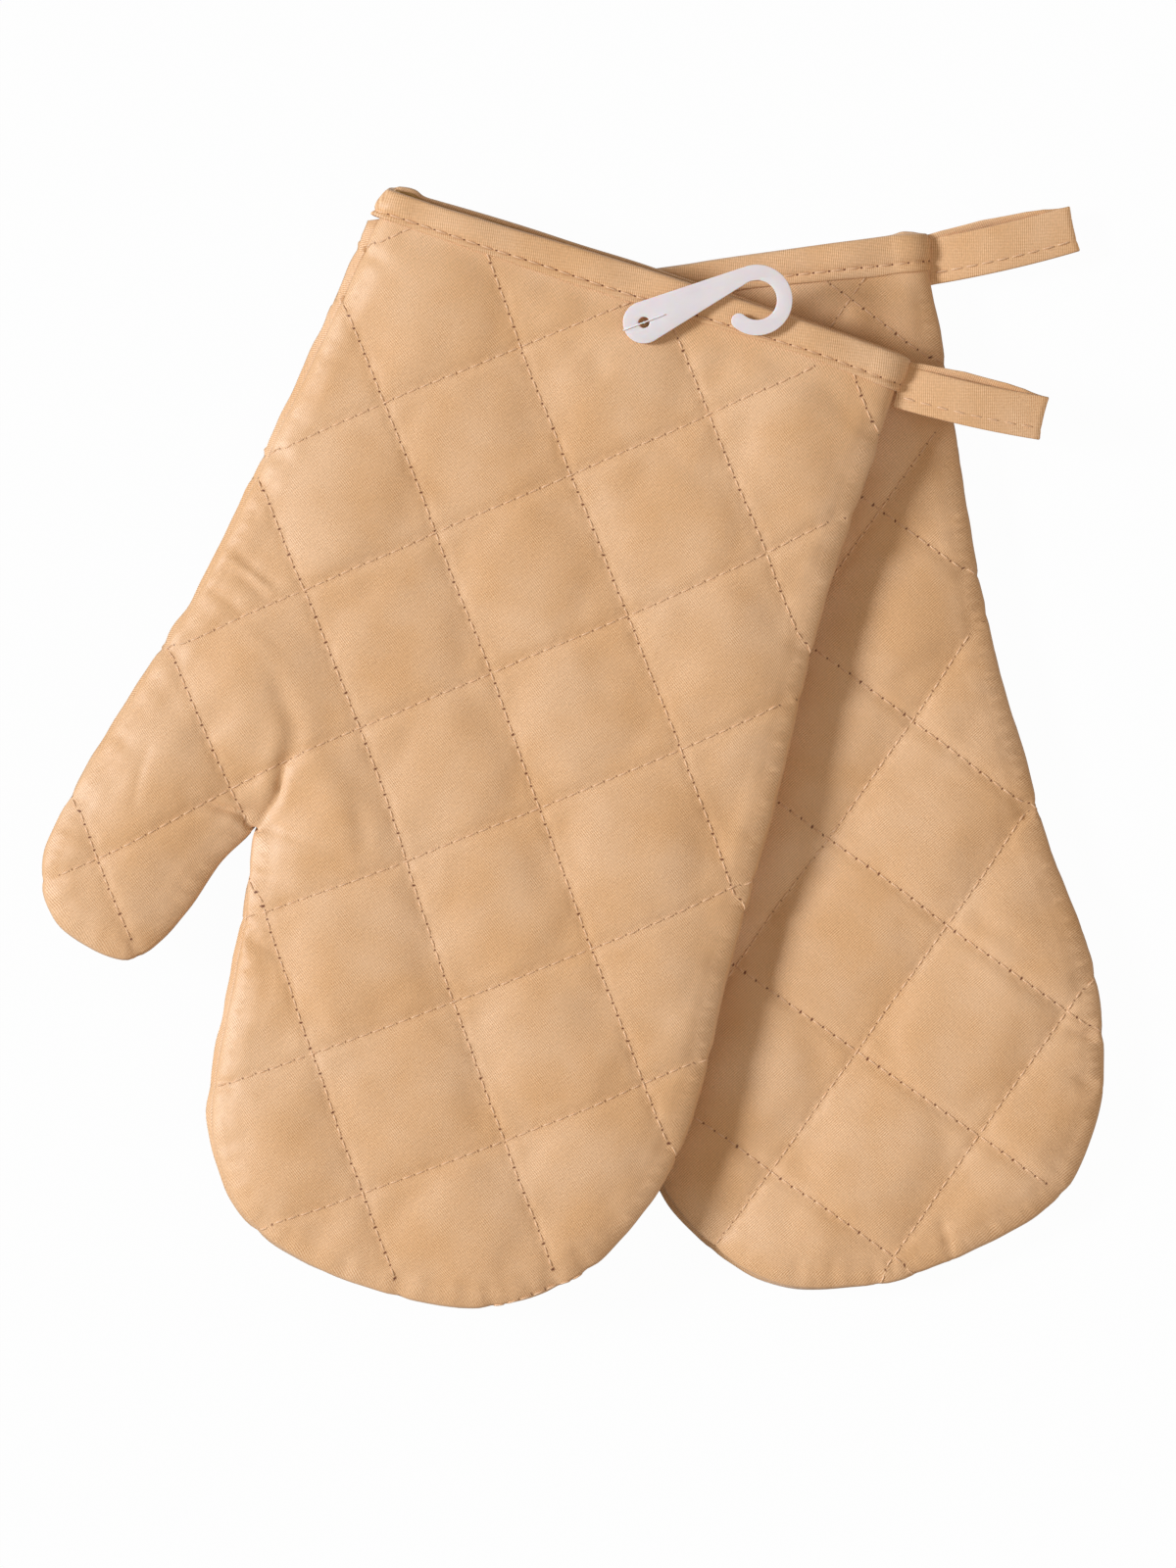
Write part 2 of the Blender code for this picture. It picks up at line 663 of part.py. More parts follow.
def hook(parent, level):
    """A flat plastic J: a round eye, a tapering body tangent to both circles, and the bend."""
    bend = (HOOK_REACH, 0.0)
    inner_radius = HOOK_BEND_RADIUS - HOOK_BAND
    middle = HOOK_BEND_RADIUS - HOOK_BAND / 2
    top = math.acos((HOOK_EYE_RADIUS - HOOK_BEND_RADIUS) / HOOK_REACH)
    under = math.acos((HOOK_EYE_RADIUS + inner_radius) / HOOK_REACH)
    tip = (HOOK_REACH + middle * math.cos(HOOK_TIP_ANGLE), middle * math.sin(HOOK_TIP_ANGLE))
    points = arc(bend, HOOK_BEND_RADIUS, top, HOOK_TIP_ANGLE, 2 * ROUND_SIDES)
    points += arc(tip, HOOK_BAND / 2, HOOK_TIP_ANGLE, HOOK_TIP_ANGLE - math.pi, ROUND_SIDES // 2)[1:]
    points += arc(bend, inner_radius, HOOK_TIP_ANGLE, math.pi - under, 2 * ROUND_SIDES)[1:]
    points += arc((0.0, 0.0), HOOK_EYE_RADIUS, -under, top - 2 * math.pi, ROUND_SIDES)
    hole = arc((0.0, 0.0), HOOK_HOLE_RADIUS, 0, 2 * math.pi, ROUND_SIDES)[:-1]
    turned = new_empty("hook_swivel", parent, (0, 0, level), HOOK_TURN - MITTS["upper"]["turn"])
    bm = filled_plate(points, [hole], 0.0, HOOK_THICKNESS, lambda a, b, c: Vector((a, b, c)))
    new_object("hook", bm, turned, "hook_plastic", smooth=True)


def tag_pin(parent, paddle_top, bar_bottom):
    """Clear nylon: a T-bar over the hook, a filament through both cuffs, and a paddle inside."""
    bm = bmesh.new()
    bar_level = bar_bottom + TBAR_RADIUS
    bmesh.ops.create_cone(
        bm, cap_ends=True, segments=ROUND_SIDES, radius1=FILAMENT_RADIUS, radius2=FILAMENT_RADIUS,
        depth=bar_level - paddle_top + PADDLE_THICKNESS / 2,
        matrix=Matrix.Translation((0, 0, (bar_level + paddle_top - PADDLE_THICKNESS / 2) / 2)),
    )
    pin = new_object("tag_pin", bm, parent, "clear_nylon", smooth=True)
    bm = bmesh.new()
    bmesh.ops.create_cone(
        bm, cap_ends=True, segments=ROUND_SIDES, radius1=TBAR_RADIUS, radius2=TBAR_RADIUS, depth=TBAR_LENGTH,
        matrix=Matrix.Translation((0, 0, bar_level)) @ Matrix.Rotation(TBAR_TURN - MITTS["lower"]["turn"], 4, "Z")
        @ Matrix.Rotation(math.pi / 2, 4, "Y"),
    )
    bar = new_object("tag_pin_bar", bm, parent, "clear_nylon")
    bm = bmesh.new()
    bmesh.ops.create_cube(
        bm, size=1.0,
        matrix=Matrix.Translation((0, 0, paddle_top - PADDLE_THICKNESS / 2))
        @ Matrix.Diagonal((PADDLE_LENGTH, PADDLE_WIDTH, PADDLE_THICKNESS, 1.0)),
    )
    paddle = new_object("tag_pin_paddle", bm, parent, "clear_nylon")
    for helper in (bar, paddle):
        hide_helper(helper)
        add_boolean(pin, helper, "UNION")


def build_mitt(name, parent):
    mitt = MITTS[name]
    outline, crotch = mitt_outline(mitt)
    flat = flat_sheet(mitt, outline, crotch)
    trees = {}
    layers = {}
    for panel, side, puff, shares in (
        ("back", 1, BACK_PUFF, BACK_PUFF_SHARES), ("palm", -1, PALM_PUFF, PALM_PUFF_SHARES),
    ):
        sheet = flat.copy()
        raise_sheet(sheet, outline, side)
        cast = sheet.copy()
        bmesh.ops.triangulate(cast, faces=cast.faces)
        trees[panel] = BVHTree.FromBMesh(cast)
        cast.free()
        layers[panel] = panel_layers(f"{name}_{panel}", sheet, side, puff, shares, parent)
        quilting_thread(f"{name}_{panel}", mitt, sheet, trees[panel], side, outline, parent)
        sheet.free()
    flat.free()
    seam_thread(name, outline, parent)
    side_x = cuff_binding(name, mitt, trees, outline, parent)
    hanging_loop(name, mitt, side_x, parent)
    return layers


def centre_on_base(root):
    """Moves the whole pair so that the origin is the centre of its box, on the table."""
    bpy.context.view_layer.update()
    graph = bpy.context.evaluated_depsgraph_get()
    corners = []
    for obj in bpy.context.scene.objects:
        if obj.type == "MESH" and not obj.hide_render:
            placed = obj.evaluated_get(graph)
            corners += [placed.matrix_world @ vert.co for vert in placed.data.vertices]
    low = [min(corner[axis] for corner in corners) for axis in range(3)]
    high = [max(corner[axis] for corner in corners) for axis in range(3)]
    root.location = (-(low[0] + high[0]) / 2, -(low[1] + high[1]) / 2, -low[2])


def main():
    clear_scene()
    make_materials()
    pair = new_empty("oven_mitt_pair", None, (0, 0, 0))
    lower_frame = new_empty("lower_mitt_frame", pair, (0, 0, 0), MITTS["lower"]["turn"])
    upper_level = MITT_HEIGHT + STACK_GAP
    swivel = new_empty("mitt_swivel", pair, (0, 0, upper_level), MITTS["upper"]["turn"])
    lower = build_mitt("lower", lower_frame)
    upper = build_mitt("upper", swivel)
    hook_level = MITT_HEIGHT + HOOK_CLEARANCE
    hook(swivel, hook_level)
    bar_bottom = upper_level + hook_level + HOOK_THICKNESS + HOOK_CLEARANCE
    paddle_top = PALM_LEVEL + CROWN_CAVITY - PIN_CLEARANCE
    tag_pin(lower_frame, paddle_top, bar_bottom)
    for layer in lower["back"] + upper["back"] + upper["palm"]:
        needle_hole(layer, 0.0, MITT_HEIGHT)
    centre_on_base(pair)


main()
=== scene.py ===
# Pair of quilted oven mitts with a retail hook: the cloth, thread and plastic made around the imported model
import math

import bpy
import numpy as np
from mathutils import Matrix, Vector
from mathutils.geometry import delaunay_2d_cdt


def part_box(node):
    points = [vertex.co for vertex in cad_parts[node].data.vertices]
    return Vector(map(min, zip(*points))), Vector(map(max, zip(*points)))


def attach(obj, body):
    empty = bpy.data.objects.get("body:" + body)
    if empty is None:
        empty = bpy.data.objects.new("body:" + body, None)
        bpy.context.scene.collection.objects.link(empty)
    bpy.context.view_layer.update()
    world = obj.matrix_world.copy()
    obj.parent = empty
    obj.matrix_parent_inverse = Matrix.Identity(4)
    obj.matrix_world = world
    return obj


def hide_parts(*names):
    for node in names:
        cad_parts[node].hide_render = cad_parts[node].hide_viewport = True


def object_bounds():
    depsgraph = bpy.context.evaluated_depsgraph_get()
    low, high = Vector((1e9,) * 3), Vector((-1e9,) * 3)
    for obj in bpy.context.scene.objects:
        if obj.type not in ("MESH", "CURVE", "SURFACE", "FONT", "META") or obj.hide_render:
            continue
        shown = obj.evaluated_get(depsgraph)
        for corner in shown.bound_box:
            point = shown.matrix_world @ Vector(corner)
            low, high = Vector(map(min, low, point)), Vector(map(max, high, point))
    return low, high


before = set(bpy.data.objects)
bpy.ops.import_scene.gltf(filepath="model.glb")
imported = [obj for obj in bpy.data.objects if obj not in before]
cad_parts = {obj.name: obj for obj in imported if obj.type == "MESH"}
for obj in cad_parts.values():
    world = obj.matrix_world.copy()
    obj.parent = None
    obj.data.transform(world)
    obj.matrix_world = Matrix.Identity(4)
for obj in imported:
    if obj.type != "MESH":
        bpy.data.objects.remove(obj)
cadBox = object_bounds()
bpy.ops.object.select_all(action="DESELECT")

mm = 0.001
pinLow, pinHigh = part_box("tag_pin")
pinPlace = np.array((pinLow + pinHigh) / 2) / mm


def linearColour(hexColour):
    parts = [int(hexColour[k:k + 2], 16) / 255 for k in (1, 3, 5)]
    return [c / 12.92 if c <= 0.04045 else ((c + 0.055) / 1.055) ** 2.4 for c in parts] + [1.0]


def addNode(owner, kind, settings=None, inputs=None):
    tree = owner.node_tree
    node = tree.nodes.new("ShaderNode" + kind)
    for name, value in (settings or {}).items():
        setattr(node, name, value)
    for name, value in (inputs or {}).items():
        if isinstance(value, bpy.types.NodeSocket):
            tree.links.new(value, node.inputs[name])
        else:
            node.inputs[name].default_value = value
    return node


def newMaterial(name, settings):
    material = bpy.data.materials.new(name)
    material.use_nodes = True
    shader = material.node_tree.nodes["Principled BSDF"]
    for socket, value in settings.items():
        shader.inputs[socket].default_value = value
    return material, shader


# The ribs lean 55.5 degrees from the cuff's own line. They are really 0.46 mm apart, and are drawn a
# little coarser so that they show. A wave texture of scale 1 repeats every 0.314 mm.
waveLength = 0.314
# hole is the dark brown of painted shade in the needle holes; the two tints make a cloudiness that is partly
# uneven dye and partly painted satin sheen
twill = {
    "ribPitch": 0.52, "ribTurn": 55.5, "weftPitch": 0.8, "weftShare": 0.2, "valley": "#C99363",
    "ridge": "#F8D2A7", "hole": "#65290A", "roughness": 0.5, "sheen": 0.18, "relief": 0.45,
    "dyeAndSheenShadeTint": (0.95, 0.9, 0.82, 1.0), "dyeAndSheenHighlightTint": (1.02, 1.04, 1.09, 1.0),
}


# Satin-faced cotton twill, woven and calendered: warm beige, fine slanting ribs, a low silky shine
def twillMaterial():
    material, shader = newMaterial("satinTwill", {
        "Roughness": twill["roughness"], "Specular IOR Level": 0.45, "Sheen Weight": twill["sheen"],
        "Sheen Roughness": 0.35})
    links = material.node_tree.links
    place = addNode(material, "UVMap", {"uv_map": "clothPlace"})
    turned = addNode(material, "Mapping", None, {
        "Vector": place.outputs["UV"], "Rotation": (0, 0, -math.radians(twill["ribTurn"]))})
    ribs = addNode(material, "TexWave", {"wave_type": "BANDS", "bands_direction": "X"}, {
        "Vector": turned.outputs["Vector"], "Scale": waveLength / twill["ribPitch"], "Distortion": 1.0,
        "Detail": 2.0, "Detail Scale": 1.3})
    # the weft breaks the ribs into grains, and in places the satin face hides them
    wefts = addNode(material, "TexWave", {"wave_type": "BANDS", "bands_direction": "Y"}, {
        "Vector": turned.outputs["Vector"], "Scale": waveLength / twill["weftPitch"], "Distortion": 3.0,
        "Detail": 2.0, "Detail Scale": 1.6})
    grains = addNode(material, "Mix", {"data_type": "FLOAT"}, {
        "Factor": twill["weftShare"], "A": ribs.outputs["Fac"], "B": wefts.outputs["Fac"]})
    patches = addNode(material, "TexNoise", None, {
        "Vector": place.outputs["UV"], "Scale": 0.3, "Detail": 2.0, "Roughness": 0.6})
    shown = addNode(material, "MapRange", None, {
        "Value": patches.outputs["Fac"], "From Min": 0.38, "From Max": 0.62, "To Min": 0.45, "To Max": 1.0})
    weave = addNode(material, "Mix", {"data_type": "FLOAT"}, {
        "Factor": shown.outputs["Result"], "A": 0.5, "B": grains.outputs["Result"]})
    base = addNode(material, "Mix", {"data_type": "RGBA"}, {
        "Factor": weave.outputs["Result"], "A": linearColour(twill["valley"]),
        "B": linearColour(twill["ridge"])})
    # faint cloudiness about 25 mm across, partly uneven dye and partly painted satin sheen: the paler, bluer
    # patches are painted highlight and the golden ones painted shade
    clouds = addNode(material, "TexNoise", None, {
        "Vector": place.outputs["UV"], "Scale": 0.04, "Detail": 3.0, "Roughness": 0.55})
    cloudShare = addNode(material, "MapRange", None, {
        "Value": clouds.outputs["Fac"], "From Min": 0.36, "From Max": 0.64, "To Min": 0.0, "To Max": 1.0})
    cloudTone = addNode(material, "Mix", {"data_type": "RGBA"}, {
        "Factor": cloudShare.outputs["Result"], "A": twill["dyeAndSheenShadeTint"], "B": twill["dyeAndSheenHighlightTint"]})
    clouded = addNode(material, "Mix", {"data_type": "RGBA", "blend_type": "MULTIPLY"}, {
        "Factor": 1.0, "A": base.outputs["Result"], "B": cloudTone.outputs["Result"]})
    # single yarns along the ribs
    stretched = addNode(material, "Mapping", None, {
        "Vector": turned.outputs["Vector"], "Scale": (2.0, 1.1, 1.0)})
    yarns = addNode(material, "TexNoise", None, {
        "Vector": stretched.outputs["Vector"], "Scale": 1.0, "Detail": 3.0, "Roughness": 0.65})
    yarnTone = addNode(material, "MapRange", None, {
        "Value": yarns.outputs["Fac"], "From Min": 0.3, "From Max": 0.7, "To Min": 0.9, "To Max": 1.09})
    toned = addNode(material, "Mix", {"data_type": "RGBA", "blend_type": "MULTIPLY"}, {
        "Factor": 1.0, "A": clouded.outputs["Result"], "B": yarnTone.outputs["Result"]})
    # needle holes, where each stitch dives: painted shade, a dark brown dot where the hole's own shade would
    # fall
    hole = addNode(material, "Attribute", {"attribute_name": "needle"})
    holeDepth = addNode(material, "MapRange", None, {
        "Value": hole.outputs["Fac"], "From Min": 0.66, "From Max": 0.88, "To Min": 0.0, "To Max": 0.95})
    holed = addNode(material, "Mix", {"data_type": "RGBA"}, {
        "Factor": holeDepth.outputs["Result"], "A": toned.outputs["Result"],
        "B": linearColour(twill["hole"])})
    links.new(holed.outputs["Result"], shader.inputs["Base Color"])
    height = addNode(material, "Mix", {"data_type": "FLOAT"}, {
        "Factor": 0.4, "A": weave.outputs["Result"], "B": yarns.outputs["Fac"]})
    bump = addNode(material, "Bump", None, {
        "Strength": twill["relief"], "Distance": 0.0001, "Height": height.outputs["Result"]})
    links.new(bump.outputs["Normal"], shader.inputs["Normal"])
    return material


liningCloth = {"threadPitch": 0.6, "dark": "#C79B62", "light": "#DDB680", "roughness": 0.85}


# Plain woven cotton lining: matt, a little yellower than the twill, with crossed threads
def liningMaterial():
    material, shader = newMaterial("cottonLining", {
        "Roughness": liningCloth["roughness"], "Specular IOR Level": 0.25, "Sheen Weight": 0.1})
    links = material.node_tree.links
    place = addNode(material, "UVMap", {"uv_map": "clothPlace"})
    warp, weft = (addNode(material, "TexWave", {"bands_direction": direction}, {
        "Vector": place.outputs["UV"], "Scale": waveLength / liningCloth["threadPitch"],
        "Distortion": 1.0}) for direction in "XY")
    weave = addNode(material, "Math", {"operation": "MULTIPLY"}, {
        0: warp.outputs["Fac"], 1: weft.outputs["Fac"]})
    colour = addNode(material, "Mix", {"data_type": "RGBA"}, {
        "Factor": weave.outputs[0], "A": linearColour(liningCloth["dark"]),
        "B": linearColour(liningCloth["light"])})
    links.new(colour.outputs["Result"], shader.inputs["Base Color"])
    bump = addNode(material, "Bump", None, {
        "Strength": 0.3, "Distance": 0.0001, "Height": weave.outputs[0]})
    links.new(bump.outputs["Normal"], shader.inputs["Normal"])
    return material


spunThread = {"dark": "#CF9868", "light": "#F3D2AE", "roughness": 0.45}


# Spun polyester sewing thread: twisted plies, a little lighter and shinier than the cloth
def threadMaterial():
    material, shader = newMaterial("spunThread", {
        "Roughness": spunThread["roughness"], "Specular IOR Level": 0.5, "Sheen Weight": 0.2})
    place = addNode(material, "TexCoord")
    plies = addNode(material, "TexNoise", None, {
        "Vector": place.outputs["Object"], "Scale": 2400.0, "Detail": 2.0})
    colour = addNode(material, "Mix", {"data_type": "RGBA"}, {
        "Factor": plies.outputs["Fac"], "A": linearColour(spunThread["dark"]),
        "B": linearColour(spunThread["light"])})
    material.node_tree.links.new(colour.outputs["Result"], shader.inputs["Base Color"])
    return material


milkyPlastic = {"dark": "#E2DCE0", "light": "#EDE8EC", "roughness": 0.36, "seeThrough": 0.35}


# Injection-moulded polypropylene: milky white and slightly see-through, with a soft gloss
def hookMaterial():
    material, shader = newMaterial("milkyPolypropylene", {
        "Roughness": milkyPlastic["roughness"], "IOR": 1.49,
        "Subsurface Weight": milkyPlastic["seeThrough"], "Subsurface Scale": 0.0015})
    place = addNode(material, "TexCoord")
    flow = addNode(material, "TexNoise", None, {
        "Vector": place.outputs["Object"], "Scale": 120.0, "Detail": 2.0})
    colour = addNode(material, "Mix", {"data_type": "RGBA"}, {
        "Factor": flow.outputs["Fac"], "A": linearColour(milkyPlastic["dark"]),
        "B": linearColour(milkyPlastic["light"])})
    material.node_tree.links.new(colour.outputs["Result"], shader.inputs["Base Color"])
    return material


# Moulded nylon of a tag pin: cloudy white, so that it is hardly seen against the milky hook
def nylonMaterial():
    material, shader = newMaterial("cloudyNylon", {
        "Base Color": linearColour("#F2EEF1"), "Roughness": 0.4, "IOR": 1.45, "Subsurface Weight": 0.4,
        "Subsurface Scale": 0.001})
    place = addNode(material, "TexCoord")
    ripple = addNode(material, "TexNoise", None, {"Vector": place.outputs["Object"], "Scale": 700.0})
    bump = addNode(material, "Bump", None, {
        "Strength": 0.1, "Distance": 0.00005, "Height": ripple.outputs["Fac"]})
    material.node_tree.links.new(bump.outputs["Normal"], shader.inputs["Normal"])
    return material


finishes = {
    "twill": twillMaterial(), "lining": liningMaterial(), "thread": threadMaterial(),
    "hook": hookMaterial(), "nylon": nylonMaterial(),
}
print("finishes made")

# A mitt lying flat, in millimetres from the tag pin: x along the cuff towards the loop, y towards the
# cuff. The outline is in shares of the cuff's width and the mitt's length, from the thumb's corner of
# the cuff round to the loop's. Quilting: for each family the direction across its rows, and for each row
# a few places on it, along the row and across it from the pin. The first family shows its needle holes
# more, and the family named deep is drawn in deeper. A crease is a line in the cloth with its rise and
# its width.
mitts = {
    "lower": {
        "body": "lower_mitt", "turn": 7.07, "base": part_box("lower_palm_outer")[0].z / mm, "seed": 3,
        "cuff": 141.4, "length": 270.0, "pinAcross": 66.5, "pinDown": 14.1, "mirror": -1,
        "outline": (
            (0.0, 0.0), (-0.014, 0.119), (-0.063, 0.400), (-0.090, 0.480), (-0.143, 0.635), (-0.147, 0.717),
            (-0.081, 0.765), (0.033, 0.779), (0.088, 0.764), (0.127, 0.716), (0.150, 0.661), (0.187, 0.617),
            (0.223, 0.700), (0.255, 0.775), (0.294, 0.854), (0.360, 0.918), (0.493, 0.976), (0.678, 0.988),
            (0.789, 0.977), (0.901, 0.959), (0.995, 0.937), (1.062, 0.905), (1.127, 0.829), (1.138, 0.716),
            (1.083, 0.589), (1.060, 0.500), (1.035, 0.426), (1.013, 0.280), (1.0, 0.0),
        ),
        "rows": (
            (54.8, (
                ((-215, -158.9), (-140, -159.3), (60, -159.3)),
                ((-225, -120.9), (-110, -121.5), (80, -121.5)),
                ((-215, -81.9), (-160, -81.6), (-100, -80.7), (100, -80.7)),
                ((-170, -45.2), (-150, -44.5), (-120, -43.9), (-85, -43.1), (100, -43.1)),
                ((-130, -4.6), (-73, -4.2), (100, -4.2)),
                ((-100, 34.9), (-60, 35.2), (-38, 35.8), (60, 35.8)),
            )),
            (-35.2, (
                ((-220, -114.6), (60, -114.6)), ((-240, -76.4), (60, -76.4)), ((-260, -38.2), (60, -38.2)),
                ((-260, 0.0), (60, 0.0)), ((-260, 38.2), (0, 38.6), (20, 39.6), (60, 39.8)),
                ((-260, 77.0), (60, 77.4)),
                ((-240, 114.5), (-122, 114.5), (-95, 114.7), (-75, 115.3), (-40, 115.3), (-20, 114.7),
                 (10, 114.0)),
                ((-205, 151.3), (-170, 152.1), (-140, 152.6), (-100, 152.8), (-65, 153.2), (-45, 152.6),
                 (-25, 152.0)),
                ((-185, 191.0), (-140, 190.9), (-100, 190.8), (-80, 191.0), (-55, 190.4)),
            )),
        ),
        "deep": 1,
        "creases": (
            (((85.5, -193.2), (89.8, -195.5), (94.1, -197.5)), -0.6, 1.3),
            (((85.5, -190.6), (90.0, -192.6), (94.3, -194.2)), 0.35, 1.2),
            (((86.0, -205.4), (89.7, -208.2), (92.8, -210.3)), -0.55, 1.2),
            (((66.5, -162.1), (71.6, -166.3), (77.2, -170.1)), -0.5, 2.4),
            (((47.4, -238.0), (48.4, -244.2), (47.4, -250.2)), -0.7, 1.4),
            (((50.9, -97.7), (56.4, -104.0), (60.0, -112.1)), -0.5, 4.0),
            (((80.3, -136.9), (84.6, -139.0), (88.8, -140.0)), -0.45, 1.3),
        ),
        # the cuff's tape: its lower fold, its stitches, its near top fold and its far one
        "tape": {
            "low": ((-68, 4.0), (20, 5.4), (40, 5.3), (50, 4.9), (60, 4.7), (76, 4.6)),
            "row": ((-68, 6.0), (20, 7.4), (38, 7.6), (55, 7.4), (76, 7.0)),
            "near": ((-68, 12.4), (5, 13.5), (20, 14.0), (40, 14.5), (60, 14.7), (68, 14.8), (76, 14.0)),
            "far": (
                (-68, 12.9), (-60, 13.4), (5, 13.9), (20, 14.3), (40, 14.7), (60, 14.9), (66, 15.0),
                (69, 15.5), (72, 15.0), (76, 14.2),
            ),
        },
        "puff": 1.15,
        "loop": {"root": (75.0, 6.8), "turn": 5.9, "length": 38.4, "width": 11.9, "skew": 2.5},
    },
    "upper": {
        "body": "upper_mitt", "turn": -19.25, "base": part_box("upper_palm_outer")[0].z / mm, "seed": 8,
        "cuff": 141.4, "length": 270.0, "pinAcross": 74.0, "pinDown": 11.5, "mirror": 1,
        "outline": (
            (0.0, 0.0), (-0.015, 0.119), (-0.074, 0.400), (-0.106, 0.480), (-0.172, 0.635), (-0.184, 0.717),
            (-0.123, 0.765), (-0.010, 0.779), (0.046, 0.764), (0.090, 0.716), (0.119, 0.661), (0.160, 0.617),
            (0.191, 0.698), (0.213, 0.773), (0.244, 0.876), (0.291, 0.927), (0.373, 0.971), (0.501, 0.992),
            (0.672, 0.994), (0.832, 0.978), (0.968, 0.927), (1.039, 0.864), (1.079, 0.783), (1.077, 0.694),
            (1.058, 0.608), (1.036, 0.434), (0.999, 0.223), (1.0, 0.0),
        ),
        "rows": (
            (20.9, (
                ((-115, -179.2), (-80, -180.2), (-55, -179.8)),
                ((-225, -147.4), (-180, -147.2), (-140, -146.4), (-120, -145.6), (-100, -144.4),
                 (-90, -143.4)),
                ((-86, -139.4), (-80, -141.2), (-60, -142.6), (-40, -143.6), (-20, -143.9)),
                ((-235, -108.6), (-160, -108.2), (-120, -107.0), (-90, -105.4), (-70, -105.3), (-40, -105.8),
                 (-20, -106.4), (20, -106.4)),
                ((-235, -69.2), (-180, -69.7), (-140, -69.9), (-100, -69.4), (-70, -68.9), (-40, -69.1),
                 (0, -69.5), (45, -70.4)),
                ((-200, -31.4), (-150, -30.8), (-120, -30.2), (-80, -30.6), (-40, -31.2), (0, -31.8),
                 (40, -31.0)),
                ((-140, 8.8), (-95, 8.6), (-60, 8.0), (-20, 7.0), (20, 6.0)),
                ((-90, 45.8), (-50, 45.6), (0, 45.4)),
            )),
            (-67.2, (
                ((-68, -44.2), (-48, -45.6), (-30, -46.4)),
                ((-110, -5.2), (-90, -6.4), (-60, -6.8), (-20, -6.4), (10, -5.6)),
                ((-165, 29.8), (-140, 30.2), (-120, 29.6), (-80, 29.2), (-40, 28.8), (0, 28.4), (20, 27.8),
                 (50, 26.8)),
                ((-205, 72.9), (-180, 72.4), (-165, 71.3), (-150, 69.8), (-130, 68.2), (-110, 67.7),
                 (-60, 67.8), (-20, 67.6), (0, 67.0), (20, 65.8), (40, 64.6)),
                ((-165, 100.8), (-140, 102.4), (-120, 103.4), (-90, 104.2), (-50, 104.7), (-20, 104.6),
                 (0, 103.4), (15, 102.2)),
                ((-190, 138.2), (-160, 139.5), (-140, 140.7), (-110, 142.0), (-80, 142.9), (-50, 143.1),
                 (-15, 141.4)),
                ((-195, 174.7), (-170, 177.0), (-150, 178.3), (-120, 179.6), (-90, 180.3), (-60, 179.8),
                 (-40, 178.2)),
                ((-150, 215.9), (-120, 217.4), (-105, 217.8), (-75, 217.0)),
            )),
        ),
        "deep": 0,
        "creases": (
            # short puckers by the seam above the thumb
            (((-81.5, -94.6), (-75.2, -95.7), (-67.1, -99.0)), -0.7, 1.5),
            (((-79.9, -89.8), (-72.4, -93.1), (-65.4, -94.9)), -0.45, 1.4),
            (((-80.5, -92.2), (-73.8, -94.3), (-66.5, -96.8)), 0.4, 1.2),
            (((-83.4, -101.2), (-77.7, -102.4), (-72.1, -104.7)), -0.5, 1.4),
            # the fold that curves down into the crotch, and the tucks beside it
            (((-51.1, -153.5), (-48.8, -146.2), (-49.2, -141.0), (-49.6, -136.0)), -1.3, 1.1),
            (((-49.2, -142.0), (-49.6, -137.7), (-49.4, -131.8), (-50.9, -127.5), (-56.6, -120.7),
              (-62.9, -114.1)), -0.8, 2.8),
            (((-53.0, -146.0), (-53.2, -138.0), (-53.6, -131.5), (-57.5, -125.5)), 0.6, 2.6),
            (((-66.6, -154.1), (-61.0, -153.2), (-56.2, -153.2), (-51.8, -154.2)), -0.9, 1.0),
            (((-66.0, -152.0), (-60.5, -151.1), (-55.6, -151.2)), 0.4, 1.4),
            (((-64.5, -156.3), (-60.0, -155.7), (-55.5, -155.8)), 0.35, 1.3),
            # soft folds in the thumb and the palm beside it
            (((-65.3, -112.9), (-69.8, -122.3), (-73.2, -129.4), (-77.0, -138.1), (-78.9, -144.1),
              (-81.4, -153.8), (-83.0, -160.2), (-86.5, -171.2)), 0.6, 6.0),
            (((-84.1, -143.5), (-84.1, -148.9), (-83.7, -154.6), (-82.6, -161.0)), -0.35, 1.2),
            (((-49.3, -154.3), (-41.2, -153.9), (-31.7, -153.1)), -0.45, 1.8),
            (((-66.4, -122.7), (-70.5, -133.4), (-73.0, -144.3)), -0.6, 4.0),
            (((-46.4, -179.8), (-42.3, -182.4), (-35.2, -184.2)), -0.7, 1.3),
            (((-47.4, -182.9), (-43.3, -185.4), (-38.7, -188.1)), 0.45, 1.3),
            (((-45.0, -131.8), (-33.9, -141.3), (-22.9, -152.2)), 0.7, 4.0),
            (((-30.8, -141.0), (-25.6, -147.1), (-22.7, -153.4)), -0.8, 3.0),
            # dimples under the hook and in two squares
            (((-11.4, -12.5), (-7.5, -14.4), (-3.5, -16.7)), -0.8, 4.0),
            (((-14.6, -101.2), (-10.6, -106.5), (-7.6, -113.4)), -0.35, 4.0),
            (((16.4, -90.4), (24.1, -93.5), (33.3, -93.0)), -0.35, 4.0),
        ),
        "tape": {
            "low": (
                (-76, 3.2), (-60, 3.1), (-40, 3.3), (-20, 3.4), (-5, 3.9), (10, 4.7), (25, 5.3), (40, 5.6),
                (55, 5.2), (68, 4.7),
            ),
            "row": (
                (-76, 4.5), (-62, 4.8), (-45, 4.9), (-30, 5.3), (-10, 5.5), (15, 6.3), (30, 6.7), (45, 7.2),
                (68, 6.7),
            ),
            "near": (
                (-76, 10.9), (-60, 10.9), (-50, 11.4), (-40, 11.8), (-20, 12.8), (0, 13.4), (20, 13.8),
                (60, 14.2), (68, 13.7),
            ),
            "far": (
